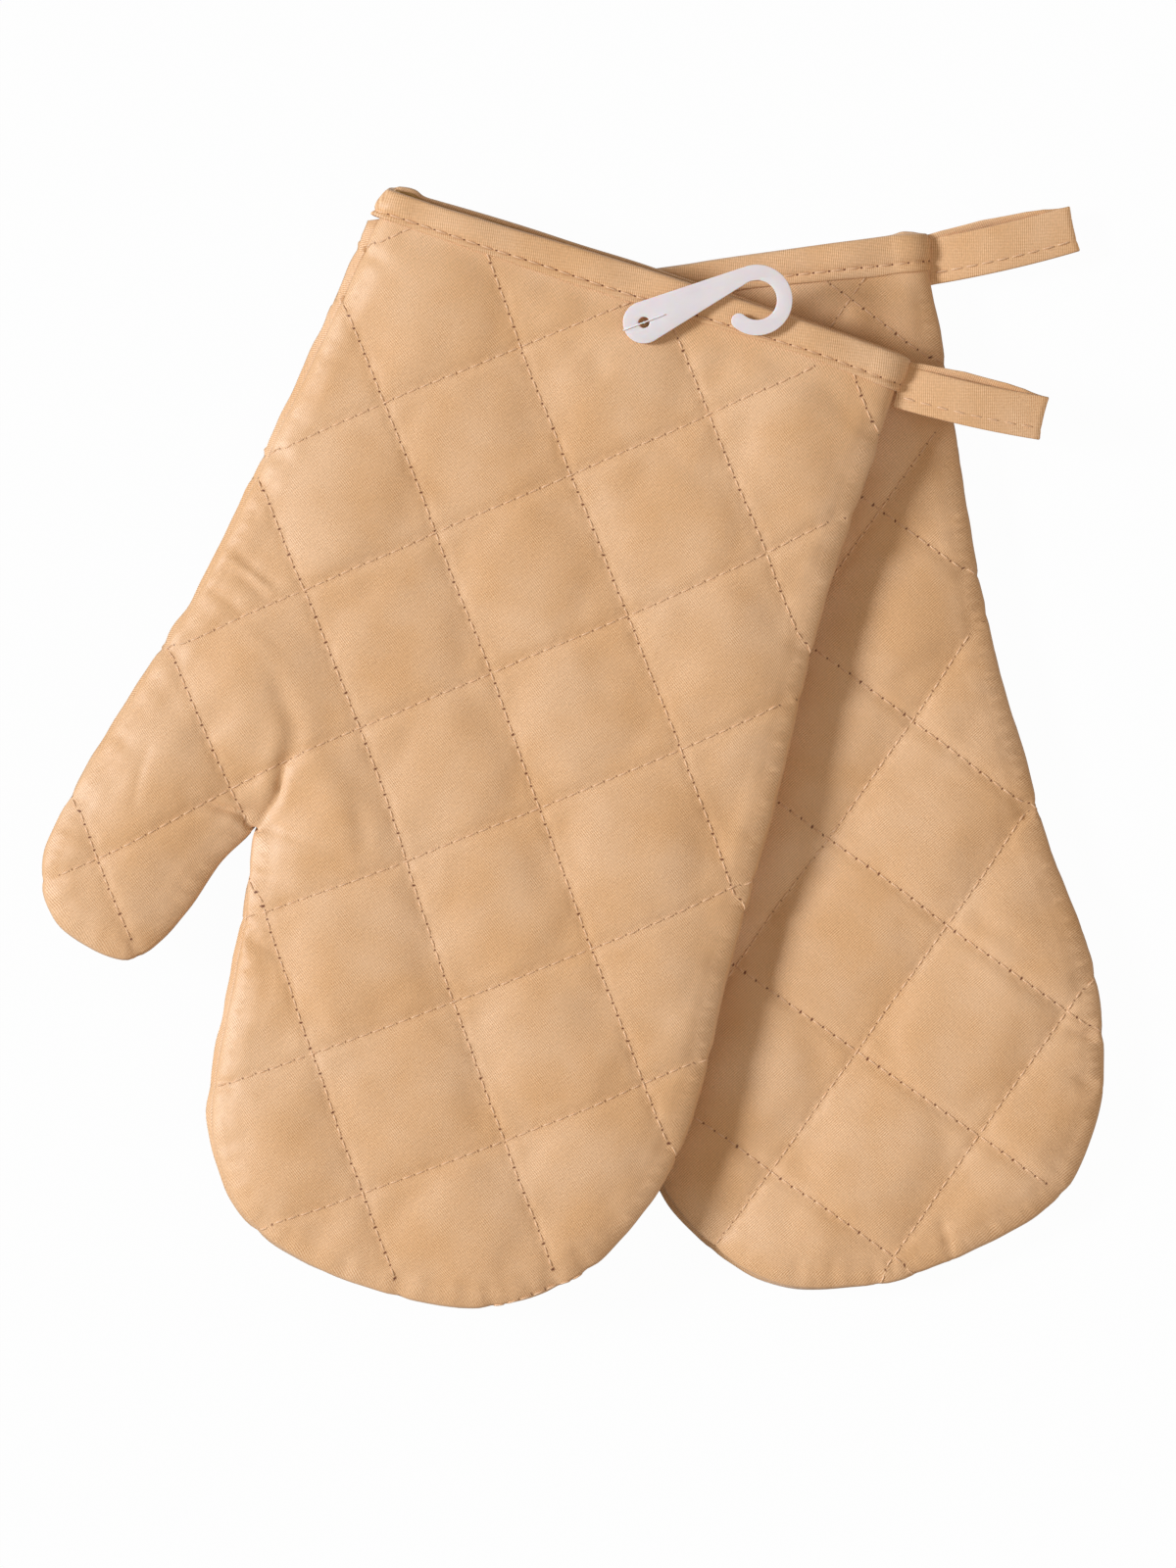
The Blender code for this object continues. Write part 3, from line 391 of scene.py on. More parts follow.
                (-76, 11.6), (-73, 12.0), (-69, 13.0), (-66.5, 13.1), (-64, 12.3), (-60, 12.4), (-50, 12.9),
                (-40, 13.3), (-20, 13.9), (0, 14.4), (20, 14.6), (60, 14.6), (68, 14.0),
            ),
        },
        "puff": 0.75,
        "loop": {"root": (68.0, 6.4), "turn": 6.7, "length": 37.5, "width": 11.3, "skew": 2.6},
    },
}
crotchPoint = 11  # where the outline turns from the thumb to the hand
pointsPerStitch = 3

# Heights over a mitt's own base, and how far each face rolls in from the seam
cloth = {
    "seamHeight": 5.5, "seamHalf": 0.25, "backRing": 10.6, "backTop": 12.2, "palmTop": 1.6,
    "backRoll": 9.0, "palmRoll": 5.0, "crownWidth": 28.0,
    "panelThickness": 1.5, "liningThickness": 0.35, "liningGap": 0.9,
    "mostHigh": 13.4, "mostLow": 0.9, "easeHigh": 0.7, "easeLow": 0.8,
    "backGrain": 1.5, "palmGrain": 2.0, "liningGrain": 3.4, "bindingWidth": 10.4,
}
# Stitches, their needle holes, and the notch in the seam where a row of quilting meets it, in mm
sewing = {
    "pitch": 3.5, "length": 2.9, "thread": 0.18, "sides": 6, "wander": 0.15, "holeGap": 1.7,
    "toSeam": 0.7, "underTape": 5.0, "seamPitch": 2.8, "seamLength": 2.3, "seamInset": 1.9,
    "notchReach": 3.5, "notchWidth": 1.9,
}
# Unevenness of the batting, and the small tucks of the cloth that rolls over to the seam
puff = {
    "valley": 0.3, "dip": 0.25, "uneven": 0.24, "tuck": 0.2, "tuckLength": 6.5, "tuckGap": 4.0,
    "tuckWidth": 2.6, "notch": 0.45,
}
# How far and how wide the cloth bulges past the seam. On the thumb's side the mitt is rolled a little,
# most at the places named, so that the palm's edge shows past the back's.
bulge = {
    "peak": 2.2, "width": 4.0, "backLess": 0.7, "palmMore": 2.6, "palmWider": 1.0, "uneven": 0.06,
    "notch": 0.45, "inset": 0.6, "rolledInset": 1.2, "handShare": 0.62,
    "thumbPlaces": (0, 100, 165, 178), "thumbShares": (1.0, 0.5, 0.35, 0.0),
}
# Blender's cloth that swells between the stitches, and how much of its movement is kept
padding = {
    "frames": 18, "pressure": 150.0, "growth": 0.025, "bend": 0.05, "tension": 12.0,
    "smoothing": 3, "share": 0.45, "most": 1.4, "sideways": 0.5,
}


# from a mitt's own place to the pair's
def toPair(mitt, points):
    turn = math.radians(mitt["turn"])
    points = np.asarray(points, float)
    x = pinPlace[0] + points[:, 0] * math.cos(turn) - points[:, 1] * math.sin(turn)
    y = pinPlace[1] + points[:, 0] * math.sin(turn) + points[:, 1] * math.cos(turn)
    return np.stack([x, y, points[:, 2] + mitt["base"]], 1)


def turnOnly(mitt, ways):
    turn = math.radians(mitt["turn"])
    x = ways[:, 0] * math.cos(turn) - ways[:, 1] * math.sin(turn)
    y = ways[:, 0] * math.sin(turn) + ways[:, 1] * math.cos(turn)
    return np.stack([x, y, ways[:, 2]], 1)


# at every point of a line or a ring, the unit vector to its left
def leftOf(line, ringed=False):
    ways = np.roll(line, -1, 0) - np.roll(line, 1, 0) if ringed else np.gradient(line, axis=0)
    ways = ways / np.linalg.norm(ways, axis=1)[:, None]
    return np.stack([-ways[:, 1], ways[:, 0]], 1)


def lengthsAlong(line):
    return np.concatenate([[0.0], np.cumsum(np.linalg.norm(np.diff(line, axis=0), axis=1))])


def evenly(points, step):
    along = lengthsAlong(points[:, :3])
    places = np.linspace(0.0, along[-1], max(1, round(along[-1] / step)) + 1)
    return np.stack([np.interp(places, along, points[:, k]) for k in range(points.shape[1])], 1)


# a smooth curve through the points
def smoothed(points, parts=12):
    run = []
    for k in range(len(points) - 1):
        start, end = points[k], points[k + 1]
        before = points[k - 1] if k else 2 * start - end
        after = points[k + 2] if k + 2 < len(points) else 2 * end - start
        for t in np.arange(parts) / parts:
            run.append(0.5 * (
                2 * start + (end - before) * t + (2 * before - 5 * start + 4 * end - after) * t * t
                + (3 * start - before - 3 * end + after) * t ** 3))
    return np.array(run + [points[-1]])


# how far each point is from a line of points
def gapTo(points, line):
    nearest = np.full(len(points), 1e9)
    for start, end in zip(line[:-1], line[1:]):
        way = end - start
        share = np.clip(((points - start) @ way) / max(way @ way, 1e-12), 0, 1)
        nearest = np.minimum(nearest, ((points - start - share[:, None] * way) ** 2).sum(1))
    return np.sqrt(nearest)


def insideRing(points, ring):
    inside = np.zeros(len(points), bool)
    x, y = points[:, 0], points[:, 1]
    for a, b in zip(ring, np.roll(ring, -1, 0)):
        if a[1] != b[1]:
            crosses = (a[1] > y) != (b[1] > y)
            inside ^= crosses & (x < (b[0] - a[0]) * (y - a[1]) / (b[1] - a[1]) + a[0])
    return inside


# a line beside the first one, to its left, with its ends kept on the cuff
def movedInwards(line, distance):
    moved = line + leftOf(line) * distance
    moved[0], moved[-1] = line[0] + [distance, 0], line[-1] - [distance, 0]
    return moved


# an uneven wave between about -1 and 1, the same on every run
def uneven(places, period, seed):
    chance = np.random.RandomState(seed)
    total = np.zeros(np.shape(places))
    for _ in range(5):
        wave = np.asarray(places) * 2 * math.pi / period * chance.uniform(0.55, 1.6)
        total += np.sin(wave + chance.uniform(0, 6.3))
    return total / 3.2


def toOutline(mitt):
    shares = np.array(mitt["outline"])
    return np.stack([
        shares[:, 0] * mitt["cuff"] - mitt["pinAcross"], mitt["pinDown"] - shares[:, 1] * mitt["length"]], 1)


def seamLine(mitt, step):
    points = toOutline(mitt)
    thumb = evenly(smoothed(points[:crotchPoint + 1]), step)
    hand = evenly(smoothed(points[crotchPoint:]), step)
    return np.concatenate([thumb, hand[1:]])


# every row of quilting, three points to a stitch, cut where it meets the seam or goes under the tape
def quiltRows(mitt, seam):
    step = sewing["pitch"] / pointsPerStitch
    lowEdge = mitt["pinDown"] - cloth["bindingWidth"] + sewing["underTape"]
    rows = []
    for family, (across, lines) in enumerate(mitt["rows"]):
        angle = math.radians(across - mitt["turn"])
        normal = np.array([math.cos(angle), math.sin(angle)])
        along = np.array([-normal[1], normal[0]])
        for number, places in enumerate(lines):
            run = evenly(smoothed(np.array(places, float), 8), step)
            wander = sewing["wander"] * uneven(run[:, 0], 40.0, mitt["seed"] * 40 + family * 20 + number)
            line = normal * (run[:, 1] + wander)[:, None] + along * run[:, :1]
            held = insideRing(line, seam) & (gapTo(line, seam) > sewing["toSeam"]) & (line[:, 1] < lowEdge)
            start = None
            for k in range(len(line) + 1):
                if k < len(line) and held[k]:
                    start = k if start is None else start
                elif start is not None:
                    if k - start > 4:
                        rows.append((line[start:k], family == mitt["deep"], family == 0))
                    start = None
    return rows


def hexGrid(low, high, step):
    rows = []
    for j, y in enumerate(np.arange(low[1], high[1], step * math.sqrt(3) / 2)):
        xs = np.arange(low[0] + (step / 2 if j % 2 else 0), high[0], step)
        rows.append(np.stack([xs, np.full(len(xs), y)], 1))
    return np.concatenate(rows)


# how far each point is from the straight line through a row's ends
def awayFrom(points, row):
    way = row[-1] - row[0]
    return np.abs((points - row[0]) @ np.array([-way[1], way[0]])) / np.linalg.norm(way)


# The flat pattern of a panel: points along the seam, the cuff, the sharp creases and every row of
# quilting, a grid between
def flatSheet(mitt, grain, sewn=True):
    seam = seamLine(mitt, grain)
    cuff = evenly(np.array([seam[-1], seam[0]]), grain)[1:-1]
    ring = np.concatenate([seam, cuff])
    rows = quiltRows(mitt, seam) if sewn else []
    folds = []
    for line, _, width in mitt["creases"] if sewn and grain < 1.8 else ():
        if width < 2.6:
            line = evenly(smoothed(np.array(line, float), 6), 0.9)
            folds += [line, movedInwards(line, 0.75 * width)[1:-1], movedInwards(line, -0.75 * width)[1:-1]]
    inset = [movedInwards(seam, gap)[2:-2] for gap in (0.45, 1.2, 2.4)] if sewn else []
    inset = [line[insideRing(line, ring) & (gapTo(line, seam) > 0.35)] for line in inset]
    grid = hexGrid(ring.min(0), ring.max(0), grain)
    grid = grid[insideRing(grid, ring)]
    grid = grid[gapTo(grid, seam) > (2.4 + 0.7 * grain if sewn else 0.6 * grain)]
    grid = grid[gapTo(grid, np.array([seam[-1], seam[0]])) > 0.6 * grain]
    for row, _, _ in rows:
        near = awayFrom(grid, row) < 8.0
        near[near] = gapTo(grid[near], row[::3]) < 0.55 * grain
        grid = grid[~near]
        inset = [line[gapTo(line, row[::3]) > 0.3 * grain] for line in inset]
        folds = [line[gapTo(line, row[::3]) > 0.5] if len(line) else line for line in folds]
    for line in folds:
        if len(line) > 1:
            near = np.hypot(*(grid - line.mean(0)).T) < 40.0
            near[near] = gapTo(grid[near], line) < 0.6
            grid = grid[~near]
            inset = [other[gapTo(other, line) > 0.5] for other in inset]
    folds = [line[insideRing(line, ring) & (gapTo(line, seam) > 0.7)] for line in folds if len(line) > 1]
    points, edges, count = [ring], [(k, (k + 1) % len(ring)) for k in range(len(ring))], len(ring)
    for row, _, _ in rows:
        points.append(row)
        edges += [(count + k, count + k + 1) for k in range(len(row) - 1)]
        count += len(row)
    points = np.concatenate(points + inset + folds + [grid])
    verts, _, faces, _, _, _ = delaunay_2d_cdt(
        [Vector(p) for p in points], edges, [list(range(len(ring)))], 1, 0.02)
    return {
        "verts": np.array([v[:] for v in verts]), "faces": [f for f in faces if len(f) == 3],
        "seam": seam, "rows": rows, "grain": grain,
        "crotch": ((seam - toOutline(mitt)[crotchPoint]) ** 2).sum(1).argmin(),
    }


# Measures for every point: how far from the seam and the rows, and which part of the seam is nearest
def measureSheet(mitt, sheet):
    verts, seam, rows = sheet["verts"], sheet["seam"], sheet["rows"]
    sheet["seamGap"] = gapTo(verts, seam)
    nearest = np.zeros(len(verts), int)
    for k in range(0, len(verts), 2000):
        nearest[k:k + 2000] = ((verts[k:k + 2000, None, :] - seam[None]) ** 2).sum(2).argmin(1)
    sheet["nearest"] = nearest
    sheet["along"] = nearest * sheet["grain"]
    sheet["needle"] = np.zeros(len(verts))
    sheet["shallow"] = np.full(len(verts), 40.0)
    sheet["deep"] = np.full(len(verts), 40.0)
    sheet["notch"] = np.zeros(len(verts))
    sheet["paths"] = []
    pierced = np.zeros((0, 2))
    for row, deep, dotted in rows:
        away = awayFrom(verts, row)
        near = np.flatnonzero(away < 26.0)
        name = "deep" if deep else "shallow"
        sheet[name][near] = np.minimum(sheet[name][near], gapTo(verts[near], row[::3]))
        near = np.flatnonzero(away < 8.0)
        spots = near[((verts[near, None, :] - row[None]) ** 2).sum(2).argmin(0)]
        sheet["paths"].append(spots)
        # each needle hole gets a mark that the twill paints dark brown: painted shade in the hole
        for spot in spots[::pointsPerStitch]:
            if not len(pierced) or np.hypot(*(pierced - verts[spot]).T).min() > sewing["holeGap"]:
                sheet["needle"][spot] = 1.0 if dotted else 0.9
                pierced = np.vstack([pierced, verts[spot]])
        for end in (row[0], row[-1]):
            spot = ((seam - end) ** 2).sum(1).argmin()
            if np.hypot(*(seam[spot] - end)) < sewing["notchReach"]:
                sheet["notch"] += np.exp(-((nearest - spot) * sheet["grain"] / sewing["notchWidth"]) ** 2)
    # two holes side by side would run together into a bar
    for face in sheet["faces"]:
        for a, b in zip(face, face[1:] + face[:1]):
            if sheet["needle"][a] and sheet["needle"][b]:
                sheet["needle"][b] = 0.0
    sheet["notch"] = sheet["notch"].clip(0, 1.2)
    sheet["sewn"] = np.minimum(sheet["deep"], sheet["shallow"])
    return sheet


# the height of the back's face, the palm's face and the panel's thickness, by the gap to the seam
def backLevel(gap):
    roll = np.clip(gap / cloth["backRoll"], 0, 1)
    edge = np.sqrt(np.clip(1 - (1 - roll) ** 2, 0, 1)) ** 0.9
    inner = np.clip((gap - cloth["backRoll"]) / (cloth["crownWidth"] - cloth["backRoll"]), 0, 1)
    low = cloth["seamHeight"] + cloth["seamHalf"]
    crown = (cloth["backTop"] - cloth["backRing"]) * np.sin(inner * math.pi / 2)
    return low + (cloth["backRing"] - low) * edge + crown


def palmLevel(gap):
    roll = np.clip(gap / cloth["palmRoll"], 0, 1)
    high = cloth["seamHeight"] - cloth["seamHalf"]
    return high + (cloth["palmTop"] - high) * np.sqrt(np.clip(1 - (1 - roll) ** 2, 0, 1))


def panelDepth(gap):
    return cloth["seamHalf"] + (cloth["panelThickness"] - cloth["seamHalf"]) * np.clip(gap / 4, 0, 1)


# 0 under the cuff's tape, rising to 1 over the given length of free cloth
def pastTape(mitt, points, length):
    return np.clip((mitt["pinDown"] - cloth["bindingWidth"] - points[:, 1]) / length, 0, 1)


# how much the creases lift or sink the cloth
def creaseRise(mitt, points, gap):
    total = np.zeros(len(points))
    for line, rise, width in mitt["creases"]:
        line = evenly(smoothed(np.array(line, float), 6), 1.0)
        near = np.flatnonzero(np.hypot(*(points - line.mean(0)).T) < 35.0)
        if not len(near):
            continue
        gaps = np.hypot(*(points[near, None, :] - line[None]).transpose(2, 0, 1))
        spot = gaps.argmin(1) / max(1, len(line) - 1)
        if rise > 0:
            taper = np.sin(np.clip(0.18 + spot * 0.82, 0, 1) * math.pi) ** 0.6
        else:
            taper = np.clip(spot * 3 + 0.25, 0, 1) * np.clip((1 - spot) * 3 + 0.25, 0, 1)
        total[near] += rise * taper * np.exp(-(gaps.min(1) / width) ** 2)
    return total * np.clip(gap / 3, 0, 1) * pastTape(mitt, points, 3)


def outwardsAt(sheet):
    return -leftOf(sheet["seam"])[sheet["nearest"]]


# the cuff's edge lies just inside the fold of its tape
def toTape(mitt, places, side):
    edge = alongTape(mitt, "near" if side == "Back" else "far", places[:, 0]) - 1.2
    reach = np.clip((places[:, 1] - (mitt["pinDown"] - 9)) / 9, 0, 1)
    return np.column_stack([places[:, 0], places[:, 1] + (edge - mitt["pinDown"]) * reach])


# the roll of cloth bulges past the seam, least where a row of quilting meets it
def bulged(mitt, sheet, side, seed):
    verts, gap, nearest = sheet["verts"], sheet["seamGap"], sheet["nearest"]
    crotch = sheet["crotch"]
    along = (nearest - np.where(nearest < crotch, 0, crotch)) * sheet["grain"]
    share = np.where(
        nearest < crotch, np.interp(along, bulge["thumbPlaces"], bulge["thumbShares"]),
        bulge["handShare"] * np.clip((135.0 - along) / 60, 0, 1) * np.clip((along - 14) / 12, -0.8, 1))
    inset = bulge["inset"] + bulge["rolledInset"] * share.clip(0, 1)
    if side == "Back":
        peak, width = bulge["peak"] - bulge["backLess"] * share, bulge["width"]
    else:
        peak, width = bulge["peak"] + bulge["palmMore"] * share, bulge["width"] + bulge["palmWider"] * share
    peak = peak * (1 + bulge["uneven"] * uneven(sheet["along"], 16.0, seed)) - bulge["notch"] * sheet["notch"]
    u = np.clip(gap / width, 0, 1)
    fromCuff = mitt["pinDown"] - verts[:, 1]
    underTape = np.clip((fromCuff - 7) / 3, 0, 1) if side == "Palm" else np.clip(fromCuff / 12, 0, 1)
    fade = np.where(nearest < crotch, underTape, np.clip((fromCuff - 5) / 20, 0, 1))
    push = peak * 4 * u * (1 - u) * fade - inset * (1 - u) * np.clip(fromCuff / 3, 0, 1)
    drawnIn = np.clip((10 - fromCuff) / 3, 0, 1) if side == "Palm" else np.clip(1 - fromCuff / 9, 0, 1)
    push -= 1.5 * drawnIn * (nearest < crotch) * np.clip(1 - gap / 10, 0, 1)
    return toTape(mitt, verts + outwardsAt(sheet) * push[:, None], side)


# how far each row lets the batting rise, and the soft unevenness of batting and cloth
def puffed(mitt, sheet, seed):
    gap, sewn = sheet["seamGap"], sheet["sewn"]
    rise = mitt["puff"] * (1 - (1 - np.clip(sheet["deep"] / 19, 0, 1)) ** 2)
    rise -= puff["valley"] * np.exp(-(sheet["shallow"] / 2.0) ** 2) + puff["dip"] * np.exp(-(sewn / 0.9) ** 2)
    chance = np.random.RandomState(seed + 900)
    total = np.zeros(len(gap))
    for _ in range(12):
        turn, length, start = chance.uniform(0, math.pi), chance.uniform(15, 46), chance.uniform(0, 6.3)
        total += np.sin((sheet["verts"] @ [math.cos(turn), math.sin(turn)]) * 2 * math.pi / length + start)
    rise += puff["uneven"] * total / 3 * (0.25 + 0.75 * np.clip(sewn / 6, 0, 1))
    return rise * np.clip((gap - 1) / 9, 0, 1) * pastTape(mitt, sheet["verts"], 6)


def addObject(name, data):
    obj = bpy.data.objects.new(name, data)
    bpy.context.scene.collection.objects.link(obj)
    return obj


def selectOnly(obj):
    bpy.ops.object.select_all(action="DESELECT")
    obj.select_set(True)
    bpy.context.view_layer.objects.active = obj


def newPiece(name, verts, faces, finish):
    mesh = bpy.data.meshes.new(name)
    mesh.from_pydata((np.asarray(verts) * mm).tolist(), [], [tuple(f) for f in faces])
    mesh.materials.append(finishes[finish])
    obj = addObject(name, mesh)
    mesh.shade_smooth()
    return obj


# where each point lies on the flat cloth, for the weave
def setClothPlace(obj, places, grainTurn=0.0, mirror=1):
    angle = math.radians(grainTurn)
    places = np.asarray(places, float) * [1, mirror]
    places = np.stack([
        places[:, 0] * math.cos(angle) - places[:, 1] * math.sin(angle),
        places[:, 0] * math.sin(angle) + places[:, 1] * math.cos(angle)], 1)
    layer = obj.data.uv_layers.new(name="clothPlace")
    corners = np.zeros(len(obj.data.loops), np.int32)
    obj.data.loops.foreach_get("vertex_index", corners)
    layer.data.foreach_set("uv", places.astype(np.float32)[corners].ravel())


# the needle marks, which the twill turns into painted shade at the needle holes
def setNeedles(obj, values):
    layer = obj.data.attributes.new("needle", "FLOAT", "POINT")
    layer.data.foreach_set("value", np.asarray(values, np.float32))


def turnFacesOut(obj):
    selectOnly(obj)
    bpy.ops.object.mode_set(mode="EDIT")
    bpy.ops.mesh.select_all(action="SELECT")
    bpy.ops.mesh.normals_make_consistent(inside=False)
    bpy.ops.object.mode_set(mode="OBJECT")
    obj.select_set(False)


# Blender's cloth, held along the seam, the binding and the quilting, swells between them and puckers
def swollen(name, mitt, sheet, level, up):
    flat = np.column_stack([sheet["verts"], level])
    faces = sheet["faces"] if up > 0 else [f[::-1] for f in sheet["faces"]]
    obj = newPiece(name, flat, faces, "twill")
    held = (sheet["sewn"] < 0.05) | (sheet["seamGap"] < 0.7)
    held |= sheet["verts"][:, 1] > mitt["pinDown"] - cloth["bindingWidth"] + 0.5  # under the tape
    group = obj.vertex_groups.new(name="sewnDown")
    group.add([int(k) for k in np.flatnonzero(held)], 1.0, "REPLACE")
    modifier = obj.modifiers.new("padding", "CLOTH")
    settings = modifier.settings
    settings.quality = 5
    settings.mass = 0.02
    settings.tension_stiffness = settings.compression_stiffness = padding["tension"]
    settings.shear_stiffness = 4.0
    settings.bending_stiffness = padding["bend"]
    settings.vertex_group_mass = "sewnDown"
    settings.use_pressure = True
    settings.uniform_pressure_force = padding["pressure"]
    settings.shrink_min = -padding["growth"]
    settings.effector_weights.gravity = 0.0
    modifier.collision_settings.use_collision = False
    modifier.point_cache.frame_start = 1
    modifier.point_cache.frame_end = padding["frames"]
    for k in range(1, padding["frames"] + 1):
        bpy.context.scene.frame_set(k)
    bpy.context.view_layer.objects.active = obj
    bpy.ops.object.modifier_apply(modifier="padding")
    moved = np.zeros(len(flat) * 3)
    obj.data.vertices.foreach_get("co", moved)
    bpy.data.objects.remove(obj)
    bpy.context.scene.frame_set(1)
    shift = moved.reshape(-1, 3) / mm - flat
    # the finest ripples are only the mesh's own, so they are smoothed away
    ends = np.array([(a, b) for f in faces for a, b in zip(f, f[1:] + f[:1])])
    ends = np.concatenate([ends, ends[:, ::-1]])
    count = np.bincount(ends[:, 0], minlength=len(flat)).clip(1)
    for _ in range(padding["smoothing"]):
        mean = np.stack([
            np.bincount(ends[:, 0], shift[ends[:, 1], k], len(flat)) for k in range(3)], 1) / count[:, None]
        shift = np.where(held[:, None], 0, 0.4 * shift + 0.6 * mean)
    shift *= padding["share"]
    shift[:, :2] = shift[:, :2].clip(-padding["sideways"], padding["sideways"])
    shift[:, 2] = up * (up * shift[:, 2]).clip(-0.3, padding["most"])
    return shift


# a sheet with its two faces and a wall round its edge
def closedSheet(name, mitt, sheet, outer, inner, up, finish):
    count = len(outer)
    faces = sheet["faces"] if up > 0 else [f[::-1] for f in sheet["faces"]]
    edges = {(a, b) for f in faces for a, b in zip(f, f[1:] + f[:1])}
    border = [(a, b) for a, b in edges if (b, a) not in edges]
    border.sort()
    closed = list(faces) + [[k + count for k in f[::-1]] for f in faces]
    closed += [(b, a, a + count, b + count) for a, b in border]
    obj = newPiece(name, toPair(mitt, np.concatenate([outer, inner])), closed, finish)
    # over the rolled edge the cloth is longer than the flat pattern shows
    roll, height = (cloth["backRoll"], 4.5) if up > 0 else (cloth["palmRoll"], 3.5)
    extra = height * np.clip(1 - sheet["seamGap"] / roll, 0, 1) ** 1.5
    places = sheet["verts"] + outwardsAt(sheet) * extra[:, None]
    setClothPlace(obj, np.concatenate([places] * 2), mirror=mitt["mirror"])
    if "needle" in sheet:
        setNeedles(obj, np.concatenate([sheet["needle"], sheet["needle"] * 0]))
    return obj


def makePanel(key, mitt, side, up):
    grain = cloth["backGrain"] if up > 0 else cloth["palmGrain"]
    sheet = measureSheet(mitt, flatSheet(mitt, grain))
    gap = sheet["seamGap"]
    seed = mitt["seed"] * 10 + (1 if up > 0 else 2)
    smooth = backLevel(gap) if up > 0 else palmLevel(gap)
    rise = up * puffed(mitt, sheet, seed)
    shift = swollen(key + side, mitt, sheet, smooth + rise, up)
    shift *= np.clip(gap / 3, 0, 1)[:, None]
    places = bulged(mitt, sheet, side, seed)
    level = smooth + rise + (creaseRise(mitt, sheet["verts"], gap) if up > 0 else 0)
    outer = np.column_stack([places, level]) + shift
    # small tucks along the seam, and the dip where a row of quilting reaches it
    tucks = puff["tuck"] * uneven(sheet["along"], puff["tuckLength"], seed + 5)
    tucks -= puff["notch"] * sheet["notch"]
    roll = np.exp(-((gap - puff["tuckGap"]) / puff["tuckWidth"]) ** 2) * pastTape(mitt, sheet["verts"], 3)
    outer[:, 2] += up * roll * tucks
    # the palm lies flat where it rests, and the back where the other mitt or the hook lies on it
    high, low = cloth["mostHigh"], cloth["mostLow"]
    easeHigh, easeLow = cloth["easeHigh"], cloth["easeLow"]
    outer[:, 2] = np.where(
        outer[:, 2] > high, high + easeHigh * np.tanh((outer[:, 2] - high) / easeHigh),
        np.where(
            outer[:, 2] < low, low - easeLow * np.tanh((low - outer[:, 2]) / easeLow), outer[:, 2]))
    depth = panelDepth(gap)
    sunk = np.minimum((outer[:, 2] - smooth) * up + 0.6 * depth, 0)
    inner = np.column_stack([places, smooth + up * (sunk - depth)])
    panel = closedSheet(key + side + "Panel", mitt, sheet, outer, inner, up, "twill")
    print(key, side.lower(), "panel made,", len(gap), "points a face")
    sheet["outer"] = outer
    return sheet, panel


def makeLining(key, mitt, side, up):
    sheet = flatSheet(mitt, cloth["liningGrain"], sewn=False)
    measureSheet(mitt, sheet)
    del sheet["needle"]
    gap = sheet["seamGap"]
    level = (backLevel(gap) if up > 0 else palmLevel(gap)) - up * (
        panelDepth(gap) + cloth["liningGap"] * np.clip(gap / 10, 0.12, 1))
    inset = 1.5 * np.clip(1 - gap / 6, 0, 1)
    places = toTape(mitt, sheet["verts"] - outwardsAt(sheet) * inset[:, None], side)
    outer = np.column_stack([places, level])
    inner = outer - [0, 0, up * cloth["liningThickness"]]
    return closedSheet(key + side + "Lining", mitt, sheet, outer, inner, up, "lining")


# each stitch along its length, its thickness and how far it stands up, in shares of the thread's radius
stitchShape = (
    (0.0, 0.3, -1.6), (0.06, 0.8, -0.7), (0.25, 1.0, 0.45), (0.5, 1.05, 0.8), (0.75, 1.0, 0.45),
    (0.94, 0.8, -0.7), (1.0, 0.3, -1.6),
)


# One row of lockstitch: each stitch a short bar of thread that dives into the needle holes at its ends
def stitchRun(path, ups, length, parts=1):
    verts, faces = [], []
    sides, radius = sewing["sides"], sewing["thread"]
    angles = np.arange(sides) * 2 * math.pi / sides
    for k in range(0, len(path) - parts, parts):
        stretch, upA, upB = path[k:k + parts + 1], ups[k], ups[k + parts]
        way = stretch[-1] - stretch[0]
        span = np.linalg.norm(way)
        if span < 0.5 * length or span > 1.6 * length:
            continue
        way = way / span
        up = upA + upB
        up = up - way * (up @ way)
        up /= np.linalg.norm(up)
        across = np.cross(way, up)
        half = min(length, span * 0.86) / 2
        start = len(verts)
        for share, size, lift in stitchShape:
            at = (0.5 + (2 * share - 1) * half / span) * parts
            centre = np.array([np.interp(at, range(parts + 1), stretch[:, axis]) for axis in range(3)])
            centre = centre + up * lift * radius
            for angle in angles:
                ring = across * math.cos(angle) * 1.25 + up * math.sin(angle)
                verts.append(centre + ring * radius * size)
        for ring in range(len(stitchShape) - 1):
            for side in range(sides):
                p, q = start + ring * sides + side, start + ring * sides + (side + 1) % sides
                faces.append((p, p + sides, q + sides, q))
        last = start + (len(stitchShape) - 1) * sides
        faces.append([start + side for side in range(sides)])
        faces.append([last + sides - 1 - side for side in range(sides)])
    return verts, faces


def joinedRuns(name, runs):
    verts, faces = [], []
    for runVerts, runFaces in runs:
        faces += [[k + len(verts) for k in f] for f in runFaces]
        verts += runVerts
    return newPiece(name, verts, faces, "thread")


def makeQuilting(key, mitt, side, sheet, up):
    runs = []
    for spots in sheet["paths"]:
        places = toPair(mitt, sheet["outer"][spots])
        ups = np.tile([0, 0, float(up)], (len(spots), 1))
        runs.append(stitchRun(places, ups, sewing["length"], pointsPerStitch))
    return joinedRuns(key + side + "Quilting", runs)


def makeSeamStitches(key, mitt):
    seam = movedInwards(evenly(seamLine(mitt, 1.0), sewing["seamPitch"]), sewing["seamInset"])
    places = toPair(mitt, np.column_stack([seam, np.full(len(seam), cloth["seamHeight"])]))
    ups = np.tile([0, 0, 1.0], (len(seam), 1))
    return joinedRuns(key + "SeamStitches", [stitchRun(places, ups, sewing["seamLength"])])


